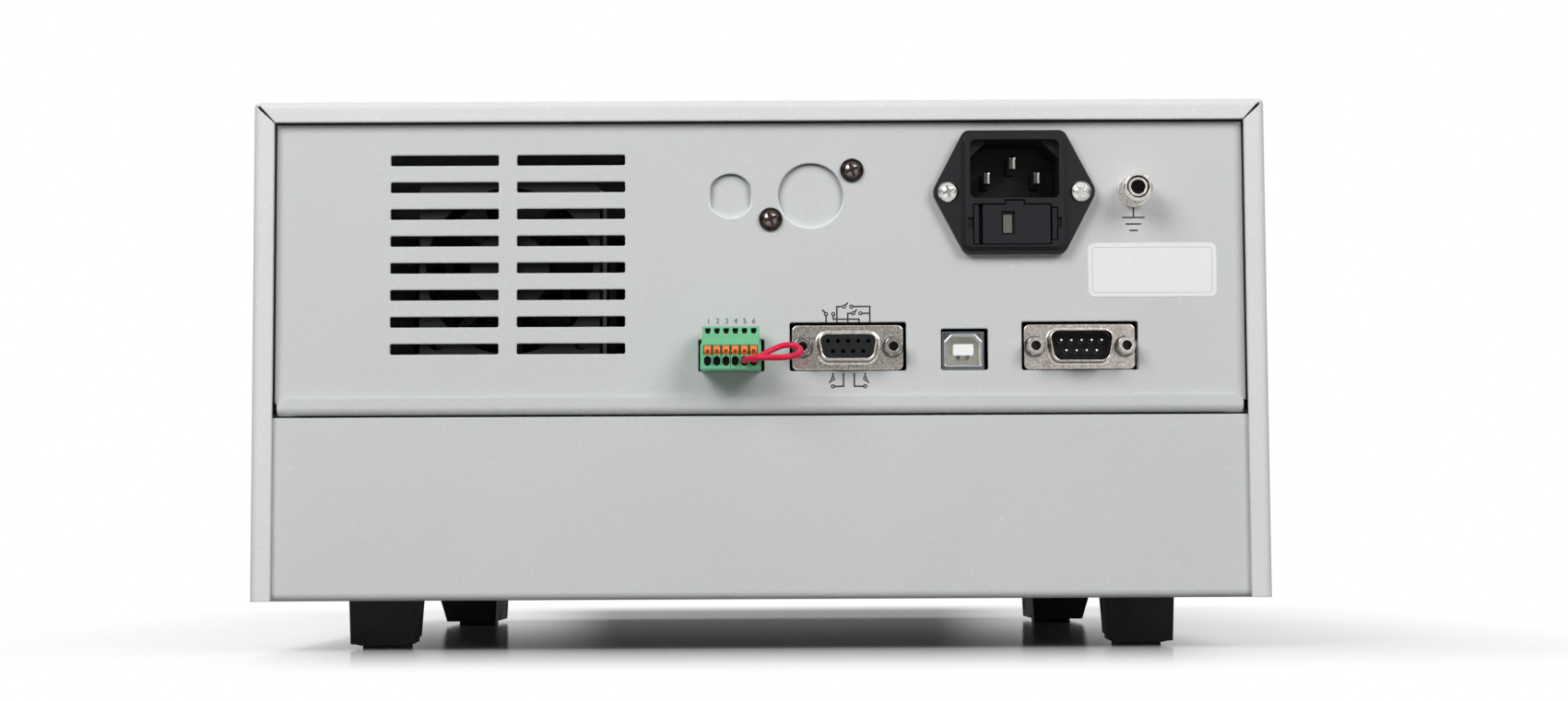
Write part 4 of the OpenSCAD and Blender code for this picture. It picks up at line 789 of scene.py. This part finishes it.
class TESTER_OT_connectors(Operator):
    """Nine-way connectors, bus socket and the six-way terminal"""
    bl_idname = "tester.connectors"
    bl_label = "Connectors"

    # Between the two jack posts of a connector, in metres
    post_spacing = 0.02499

    def execute(self, context):
        nickel = plated("shell_nickel", shade(224, 217, 210), 0.16, 1300, 0.00002, painted_shade=self.shell_shade,
                        cloudy=0.8, tarnish=0.5)
        self.nine_way("handler", HANDLER, (16.3, 7.9), 0.75, 0.9, nickel)
        self.nine_way("serial", SERIAL, (17.4, 8.8), 0.4, 0.75, nickel)
        steel = plated("socket_steel", shade(206, 210, 218), 0.1, 700, 0.00001, painted_shade=self.painted_face_reflection,
                       cloudy=0.3)
        self.bus_socket(steel, moulding("socket_lining", shade(247, 245, 236), 0.5),
                        plated("contact_brass", shade(120, 98, 66), 0.25, 1200))
        dress(moulding("insert_moulding", shade(17, 18, 20), 0.5, specular_ior_level=0.2),
              "handler_insert", "serial_insert")
        dress(plated("pin_plating", shade(214, 208, 196), 0.15, 1500, painted_shade=self.painted_pin_reflection, cloudy=0.4),
              "serial_pins")
        dress(plated("jack_nickel", shade(226, 222, 215), 0.12, 900, painted_shade=self.threads, cloudy=0.5),
              "jack_posts")
        dress(moulding("socket_white", shade(248, 248, 246), 0.4), "usb_tongue")
        for name, painted_shade in (("terminal_header", None), ("terminal_plug", self.painted_hole_shade)):
            dress(moulding(f"{name}_moulding", paint("terminal"), 0.4, 1900, 0.00003, 0.0002, painted_shade,
                           subsurface_weight=0.08, subsurface_scale=0.001), name)
        dress(moulding("lever_moulding", paint("lever"), 0.36, 1900, 0.00002, 0.00015),
              *[f"lever_{i}" for i in range(1, 7)])
        return {"FINISHED"}

    def from_post(self, metal):
        """Distance from the nearest jack post's axis."""
        x, _, z = metal.axes()
        from_connector = abs(x - (HANDLER.x + SERIAL.x) / 2) - (HANDLER.x - SERIAL.x) / 2
        return metal.away(abs(from_connector) - self.post_spacing / 2, z - HANDLER.z)

    def threads(self, metal):
        """Painted shade in the bores of the jack posts, and a painted darker shade on the flats of their
        hexagons.
        """
        away = self.from_post(metal)
        _, y, _ = metal.axes()
        bore = (away < 0.00138) * (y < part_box("jack_posts")[1].y - 0.0003)
        return bore | 0.3 * metal.ramp(away, 0.0019, 0.0022)

    def shell_shade(self, metal):
        """Painted shade round the foot of each jack post and up the outside of each mouth, short of its rim.
        """
        _, y, _ = metal.axes()
        rise = y - PANEL_FACE
        side = metal.ramp(rise, 0.00005, 0.0004) * metal.ramp(rise, 0.0056, 0.0051)
        return 0.75 * metal.ramp(self.from_post(metal), 0.0032, 0.0028) | 0.55 * side

    def painted_face_reflection(self, metal):
        """Flat face of the bus socket, painted darker than the rolled rim of its mouth as a dark reflection.
        """
        _, y, _ = metal.axes()
        return 0.65 * metal.ramp(y - PANEL_FACE, 0.0004, 0.00026)

    def painted_pin_reflection(self, metal):
        """Painted dark reflection on the sides of the nine pins, in two rows half a pitch apart."""
        middle = middle_of("serial_pins")
        pitch, rows = 0.00277, 0.00284
        x, _, z = metal.axes()
        up = z - middle.z
        upper = x.math("PINGPONG", x - middle.x, pitch / 2)
        across = upper + (up < 0) * (pitch / 2 - 2 * upper)
        return metal.ramp(metal.away(across, abs(up) - rows / 2), 0.00016, 0.00036) * 0.8

    def painted_hole_shade(self, plastic):
        """Painted shade in the depth of the plug's two rows of holes."""
        half_width, wire_level, test_level = 0.0074, 0.0037, 0.01215
        x, y, z = plastic.axes()
        inner = abs(x - TERMINAL.x) < half_width
        up = z - BOARD_TOP
        wires = (abs(up - wire_level) < 0.0015) * (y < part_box("terminal_plug")[1].y - 0.0006)
        tests = (abs(up - test_level) < 0.00085) * (y < COVER_REAR + 0.0062)
        return inner * (wires | tests)

    def nine_way(self, name, middle, size, wall, floor, nickel):
        """Flange and drawn D-shaped shell: fillet at the foot, rolled front edge, open inside."""
        flare, height, lean = 0.8, 5.9, math.radians(10)
        radius, x, y = 2.5 + flare, size[0] / 2 + flare, size[1] / 2 + flare
        upper = x - radius + radius * (1 + math.sin(lean)) / math.cos(lean)
        lower = x - radius - (size[1] - 5) * math.tan(lean) + radius * (1 - math.sin(lean)) / math.cos(lean)
        mouth = [(-lower, -y, radius), (lower, -y, radius), (upper, y, radius), (-upper, y, radius)]
        turns = [math.radians(a) for a in range(0, 91, 15)]
        foot = [(flare * math.sin(a), flare * (1 - math.cos(a))) for a in turns]
        roll = wall / 2
        rim = [(flare + roll * (1 - math.cos(2 * a)), height - roll * (1 - math.sin(2 * a))) for a in turns]
        bm = bmesh.new()
        drawn_shell(bm, rectangle(15.4, 6.25, 1.6), ((0, -0.8), (0.001, -0.3), (0.09, -0.09), (0.3, 0)),
                    mouth, [*foot, *rim, (flare + wall + 0.02, floor)])
        at = Matrix.Translation((-middle.x * 1000, middle.z * 1000, PANEL_W))
        piece = finished(f"{name}_drawn_shell", bm, REAR @ at, "chassis", "nickel", nickel)
        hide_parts(f"{name}_shell")

    def bus_socket(self, steel, lining, brass):
        """Folded square shell with a rolled rim round its six-sided, lined mouth, and two contact springs."""
        # Right half of the mouth, from its foot up: across, up and corner radius
        right = [(5.45, -4.6, 0.9), (5.4, 2.55, 0.8), (3.3, 4.7, 0.8)]
        left = [(-x, y, radius) for x, y, radius in right]
        bm = bmesh.new()
        drawn_shell(bm, rectangle(5.9, 5.3, 0.4),
                    ((0, -16), (0.001, -0.5), (0.04, -0.25), (0.15, -0.08), (0.3, 0)),
                    [left[0], *right, left[2], left[1]],
                    ((0, 0), (0.1, 0.06), (0.2, 0.24), (0.32, 0.34), (0.46, 0.32), (0.58, 0.18), (0.66, -0.1),
                     (0.68, -7)))
        for f in bm.faces:
            f.material_index = int(all(abs(v.co.x) < 5.3 and abs(v.co.y) < 4.6 and v.co.z < -0.05
                                       for v in f.verts))
        pad(bm, (0, -6.2), (11.8, 2), -16, -1.6, 0.4, 0.1)
        for across in (-1.1, 1.4):
            pad(bm, (across, -1.85), (0.8, 0.9), -7.2, -1.6, 0.15, 0.1, 2)
        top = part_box("usb_shell")[1].z
        at = Matrix.Translation((-middle_of("usb_shell").x * 1000, top * 1000 - 5.3, PANEL_W + 0.2))
        piece = finished("bus_drawn_shell", bm, REAR @ at, "chassis", "nickel", steel, lining, brass)
        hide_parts("usb_shell")


class TESTER_OT_inside(Operator):
    """Fan, boards, heat sink and transformer behind the vents"""
    bl_idname = "tester.inside"
    bl_label = "Inside"

    def execute(self, context):
        dress(moulding("fan_moulding", shade(16, 17, 19), 0.5, specular_ior_level=0.2),
              "fan_frame", "fan_rotor")
        dress(plated("zinc_steel", shade(176, 180, 182), 0.42, 260),
              "fan_bracket", "power_module", "transformer_cradle")
        dress(laminate("board_laminate"), "main_board", "front_board")
        dress(moulding("component_moulding", shade(44, 44, 46), 0.5, 900, 0.00004), "board_components")
        dress(brushed("anodised_fins", shade(58, 59, 61)), "heat_sink")
        dress(brushed("module_frame", shade(178, 180, 182)), "display_module")
        dress(laminations("core_laminations"), "transformer_core")
        dress(taped("coil_tape"), "transformer_coil")
        return {"FINISHED"}


class TESTER_OT_label(Operator):
    """Bare rating label with a thin printed frame"""
    bl_idname = "tester.label"
    bl_label = "Label"

    def execute(self, context):
        sizes = context.scene.tester_sizes
        width, height = sizes.label_width * 1000, sizes.label_height * 1000
        middle = (108.6, 104.4)
        bm = bmesh.new()
        pad(bm, middle, (width, height), PANEL_W - 0.02, PANEL_W + 0.12, 1.7, 0.06)
        paper = Finish("label_film", roughness=0.34, specular_ior_level=0.5)
        fibre = paper.noise(700, 3)
        at = (-middle[0] / 1000, middle[1] / 1000)
        outer, inner = [paper.field(at, (width / 2000 - margin, height / 2000 - margin), corner)
                        for margin, corner in ((0.0011, 0.001), (0.00132, 0.0008))]
        frame_line = outer * (1 - inner)
        tone = paper.mix(fibre, shade(234, 235, 237), shade(242, 242, 243))
        paper.feed(base_color=paper.mix(frame_line * 0.45, tone, shade(150, 152, 156)),
                   normal=paper.bump(fibre, 0.00001))
        finished("bare_label", bm, REAR, "chassis", "white_plastic", paper.material)
        return {"FINISHED"}


def ink_finish(name, colour):
    """Screen-printed ink of slightly uneven tone."""
    ink = Finish(name, roughness=0.5)
    body = ink.noise(3200, 2)
    ink.feed(base_color=ink.between(ink.ramp(body, 0.35, 0.7), colour, 0.85, 1.35),
             normal=ink.bump(body, 0.00001))
    return ink.material


class TESTER_OT_panel_print(Operator):
    """Printed contact lines, earth sign and way numbers on the rear panel"""
    bl_idname = "tester.panel_print"
    bl_label = "Rear print"

    # Contact signs above and below the connector, from its middle: one point is a terminal, more are a line
    signs = (((-5.9, 7.2), (-5.9, 8.9)), ((-5.9, 9.3),), ((-6.1, 9.7), (-6.8, 10.4)), ((-3.9, 9.3),),
             ((-3.9, 8.9), (-3.9, 7.9), (3.2, 7.9), (3.2, 7.2)), ((-2.9, 7.2), (-2.9, 11.4), (-1.4, 11.4)),
             ((-0.9, 11.4),), ((-0.6, 11.7), (0, 12.3)), ((1.1, 11.4),),
             ((1.5, 11.4), (6.2, 11.4), (6.2, 7.2)), ((0.1, 7.2), (0.1, 9.5), (1.2, 9.5)), ((1.6, 9.5),),
             ((1.9, 9.8), (2.5, 10.4)), ((3.6, 9.5),), ((4, 9.5), (6.2, 9.5)), ((-4.1, -7.2), (-4.1, -8.2)),
             ((-4.1, -8.6),), ((-4.4, -9), (-5, -9.6)), ((-4.1, -10.7),),
             ((-3.7, -10.7), (-1.2, -10.7), (-1.2, -7.2)), ((1.8, -7.2), (1.8, -10.7), (4.4, -10.7)),
             ((4.8, -10.7),), ((4.8, -8.6),), ((4.8, -8.2), (4.8, -7.2)), ((5.1, -9), (5.7, -9.6)))

    # Earth sign: middle of its stem across, ends of the stem, and half length and height of each bar
    stem, stem_ends = 103.6, (122.6, 119)
    earth_bars = ((2.9, 119), (1.95, 117.2), (0.95, 115.4))

    # Way numbers: pitch and height on the panel
    way_pitch, ways_up = 2.5, 90.6

    def execute(self, context):
        line = context.scene.tester_sizes.ink_line * 1000
        low, high = PANEL_W - 0.02, PANEL_W + 0.03
        bm = bmesh.new()
        for sign in self.signs:
            points = [(x - HANDLER.x * 1000, y + HANDLER.z * 1000) for x, y in sign]
            if len(points) > 1:
                path(bm, points, line, low, high)
            else:
                ring(bm, points[0], 0.42, line * 0.8, low, high)
        bar(bm, (self.stem, self.stem_ends[0]), (self.stem, self.stem_ends[1]), line, low, high)
        for half, up in self.earth_bars:
            bar(bm, (self.stem - half, up), (self.stem + half, up), line, low, high)
        for i in range(6):
            at = (-TERMINAL.x * 1000 + (i - 2.5) * self.way_pitch, self.ways_up)
            figures(bm, str(i + 1), 1.5, at, low, high)
        finished("rear_print", bm, REAR, "chassis", "painted_steel", ink_finish("panel_ink", paint("ink")))
        return {"FINISHED"}


class TESTER_OT_front(Operator):
    """Bezel, plate, printed film, glass, buttons, sockets, switch and lamp"""
    bl_idname = "tester.front"
    bl_label = "Front"

    def execute(self, context):
        dress(moulding("bezel_moulding", paint("bezel"), 0.5, 1300, 0.00006, 0.0006), "front_bezel")
        dress(brushed("front_plate", shade(190, 192, 194)), "front_panel")
        dress(self.film_finish(paint("film"), paint("film_band")), "front_overlay")
        dress(self.glass_finish(), "display_window")
        for name in ("start", "stop"):
            dress(self.lens_finish(f"{name}_lens", paint(name)), f"{name}_button")
        for name, tones, roughness, *nodes in (
                ("live_socket", (190, 34, 34), 0.34, "hv_socket"),
                ("return_socket", (34, 35, 37), 0.36, "return_socket"),
                ("switch", (30, 31, 33), 0.34, "switch_housing", "power_rocker")):
            dress(moulding(f"{name}_moulding", shade(*tones), roughness, 2000, 0.00003, 0.0004), *nodes)
        dress(self.lens_finish("lamp_lens", shade(206, 40, 30)), "warning_lamp")
        return {"FINISHED"}

    def film_finish(self, pale, band):
        """Matt printed film: pale ground, slate field at the display, red-edged grey field at the outputs."""
        film = Finish("overlay_film", specular_ior_level=0.4)
        weave = film.noise(2800, 2)
        slow = film.noise(12, 2)
        tone = film.between(slow, pale, 0.97, 1.02)
        shield = film.field((-0.061, 0.1), (0.065, 0.039), 0.004)
        sockets = (0.079, 0.052)
        output = film.field(sockets, (0.045, 0.0203), 0.003)
        edge = output * (1 - film.field(sockets, (0.0446, 0.0199), 0.0026))
        tone = film.mix(shield, tone, band)
        tone = film.mix(output * 0.5, tone, scaled(pale, 0.82))
        tone = film.mix(edge, tone, shade(176, 44, 42))
        film.feed(base_color=tone, roughness=0.42 + 0.12 * weave, normal=film.bump(weave, 0.00002, 0.0003))
        return film.material

    def glass_finish(self):
        """Dark display glass with a paler lit field and faint smears."""
        glass = Finish("display_glass", coat_weight=0.6, coat_roughness=0.04)
        smear = glass.ramp(glass.noise(40, 4, 0.6, (1, 1, 0.4)), 0.5, 0.8)
        picture = glass.field((-0.07, 0.1), (0.0445, 0.026), 0.001)
        glass.feed(base_color=glass.mix(picture, shade(12, 13, 15), shade(20, 38, 66)),
                   roughness=0.08 + 0.1 * smear)
        return glass.material

    def lens_finish(self, name, colour):
        """Translucent lens with a moulded ripple."""
        lens = Finish(name, subsurface_weight=0.25, subsurface_scale=0.002, coat_weight=0.5,
                      coat_roughness=0.1)
        cloud = lens.noise(260, 3)
        lens.feed(base_color=lens.between(cloud, colour, 0.85, 1.15), roughness=0.2 + 0.12 * cloud,
                  normal=lens.bump(cloud, 0.00003, 0.0005))
        return lens.material


class TESTER_OT_keys(Operator):
    """Rounded key caps with plain signs"""
    bl_idname = "tester.keys"
    bl_label = "Key caps"

    # Heights over the bezel of the caps' feet and tops, and of the signs' feet and tops, in millimetres
    low, high = KEY_F - 0.05, KEY_F + 0.35
    sign = (high - 0.02, high + 0.03)

    # Middles of the side keys, of the arrow keys and of the first number key
    side_keys, arrow_keys, number_keys = (-6, 100), (30, 108), (15, 78)

    def cap(self, bm, at, size, index=0):
        pad(bm, at, size, self.low, self.high, 1.4, 0.25, index)

    def execute(self, context):
        bm = bmesh.new()
        for i in range(5):
            x, y = self.side_keys[0], self.side_keys[1] + (i - 2) * 12.5
            self.cap(bm, (x, y), (11.4, 7.4))
            bar(bm, (x - 2, y), (x + 2, y), 0.6, *self.sign, 2)
        for across, up, turn in ((0, 1, 90), (0, -1, -90), (-1, 0, 180), (1, 0, 0)):
            at = (self.arrow_keys[0] + across * 15, self.arrow_keys[1] + up * 13)
            self.cap(bm, at, (10.4, 8.4))
            place = Matrix.Translation((*at, sum(self.sign) / 2))
            arrow = bmesh.ops.create_cone(
                bm, cap_ends=True, segments=3, radius1=1.9, radius2=1.9, depth=self.sign[1] - self.sign[0],
                matrix=place @ Matrix.Rotation(math.radians(turn - 90), 4, "Z"))
            faces_of(arrow["verts"], 2)
        self.cap(bm, self.arrow_keys, (10.4, 8.4), 1)
        ring(bm, self.arrow_keys, 1.7, 0.5, *self.sign, 2)
        for i in range(3):
            at = (self.number_keys[0] + i * 15, self.number_keys[1])
            self.cap(bm, at, (10.4, 7.4), 1)
            figures(bm, str(i + 1), 2.6, at, *self.sign, 2)
        finished("key_caps", bm, FRONT, "chassis", "overlay_film",
                 moulding("key_grey", shade(150, 154, 158), 0.44, 2200, 0.00002, None),
                 moulding("key_blue", shade(74, 104, 142), 0.44, 2200, 0.00002, None),
                 ink_finish("key_ink", shade(244, 245, 246)))
        return {"FINISHED"}


class TESTER_OT_display(Operator):
    """Plain figures and a level bar on the display glass"""
    bl_idname = "tester.display"
    bl_label = "Display figures"

    def execute(self, context):
        low, high = FILM_F - 0.02, FILM_F + 0.02
        bm = bmesh.new()
        figures(bm, "0.000", 13, (-86, 110), low, high)
        figures(bm, "0.00", 9, (-45, 113), low, high)
        figures(bm, "00.0", 9, (-45, 99), low, high)
        for i in range(5):
            figures(bm, str(i + 1), 2.6, (-28.5, 100 + (i - 2) * 9.5), low, high, 1)
        for i in range(24):
            across = -109 + i * 2.6
            bar(bm, (across, 88), (across, 91), 1.2, low, high, 0 if i < 9 else 1)
        path(bm, ((-112, 84), (-33, 84)), 0.4, low, high, 1)
        path(bm, ((-33, 76), (-33, 124)), 0.4, low, high, 1)
        finished("display_figures", bm, FRONT, "chassis", "display_glass",
                 self.glow("lit_figures", shade(196, 232, 255), 0.9),
                 self.glow("dim_figures", shade(84, 128, 168), 0.5))
        return {"FINISHED"}

    def glow(self, name, colour, strength):
        lit = Finish(name, roughness=0.4, emission_strength=strength)
        grain = lit.noise(1500, 2)
        tone = lit.between(grain, colour, 0.9, 1)
        lit.feed(base_color=tone, emission_color=tone)
        return lit.material


class TESTER_OT_trim(Operator):
    """Bright rings round the two buttons, contact sleeves in the sockets and the signs on the rocker"""
    bl_idname = "tester.trim"
    bl_label = "Front trim"

    # Button ring with a sloped face: radius and height over the film, in millimetres
    ring_section = ((10.4, -0.02), (12.6, -0.02), (12.4, 0.5), (11.2, 1.3), (10.6, 1.3), (10.4, 1.0))

    # Sleeves of the output and return sockets: middle, radius, wall, foot and top
    sleeves = (((100, 54), 2.2, 0.44, -4.5, 2.7), ((58, 54), 2.15, 0.3, -4, 8.84))

    # Rocker's hinge: height on the front, and tilt at rest in degrees
    hinge_up, hinge_tilt = 44, -9

    def execute(self, context):
        bm = bmesh.new()
        section = [(radius, FILM_F + z) for radius, z in self.ring_section]
        for name in ("start_button", "stop_button"):
            middle = middle_of(name) * 1000
            for f in faces_of(spun(bm, section, (middle.x, middle.z), 48)):
                f.smooth = True
        finished("button_rings", bm, FRONT, "chassis", "nickel",
                 plated("ring_nickel", shade(206, 206, 204), 0.2, 600))

        bm = bmesh.new()
        for sleeve in self.sleeves:
            ring(bm, *sleeve)
        finished("contact_sleeves", bm, FRONT, "chassis", "brass",
                 plated("sleeve_brass", shade(206, 170, 96), 0.24, 900))

        bm = bmesh.new()
        ring(bm, (0, 3.9), 1.35, 0.42, -0.03, 0.05)
        bar(bm, (0, -5.2), (0, -2.6), 0.45, -0.03, 0.05)
        for v in bm.verts:
            v.co.z += 2.6 + abs(v.co.y) / 7.2
        hinge = Matrix.Translation((middle_of("power_rocker").x * 1000, self.hinge_up, FILM_F - 1))
        tilt = Matrix.Rotation(math.radians(self.hinge_tilt), 4, "X")
        finished("rocker_signs", bm, FRONT @ hinge @ tilt, "rocker", "black_plastic",
                 ink_finish("rocker_ink", shade(240, 240, 238)))
        return {"FINISHED"}


STEPS = (TESTER_OT_stage, TESTER_OT_jumper, TESTER_OT_case, TESTER_OT_inlet, TESTER_OT_connectors,
         TESTER_OT_inside, TESTER_OT_label, TESTER_OT_panel_print, TESTER_OT_front, TESTER_OT_keys,
         TESTER_OT_display, TESTER_OT_trim)


class TESTER_PT_looks(Panel):
    """Steps that dress the tester, in order"""
    bl_idname = "TESTER_PT_looks"
    bl_label = "Bench tester"
    bl_space_type = "VIEW_3D"
    bl_region_type = "UI"
    bl_category = "Tester"

    def draw(self, context):
        for step in STEPS:
            self.layout.operator(step.bl_idname)
        for group in (context.scene.tester_colours, context.scene.tester_sizes):
            for name in group.bl_rna.properties.keys():
                if name not in ("rna_type", "name"):
                    self.layout.prop(group, name)


CLASSES = (TesterColours, TesterSizes, *STEPS, TESTER_PT_looks)


def register():
    for cls in CLASSES:
        bpy.utils.register_class(cls)
    bpy.types.Scene.tester_colours = PointerProperty(type=TesterColours)
    bpy.types.Scene.tester_sizes = PointerProperty(type=TesterSizes)


def unregister():
    del bpy.types.Scene.tester_sizes
    del bpy.types.Scene.tester_colours
    for cls in reversed(CLASSES):
        bpy.utils.unregister_class(cls)


def main():
    register()
    for step in STEPS:
        group, name = step.bl_idname.split(".")
        getattr(getattr(bpy.ops, group), name)()


if __name__ == "__main__":
    main()
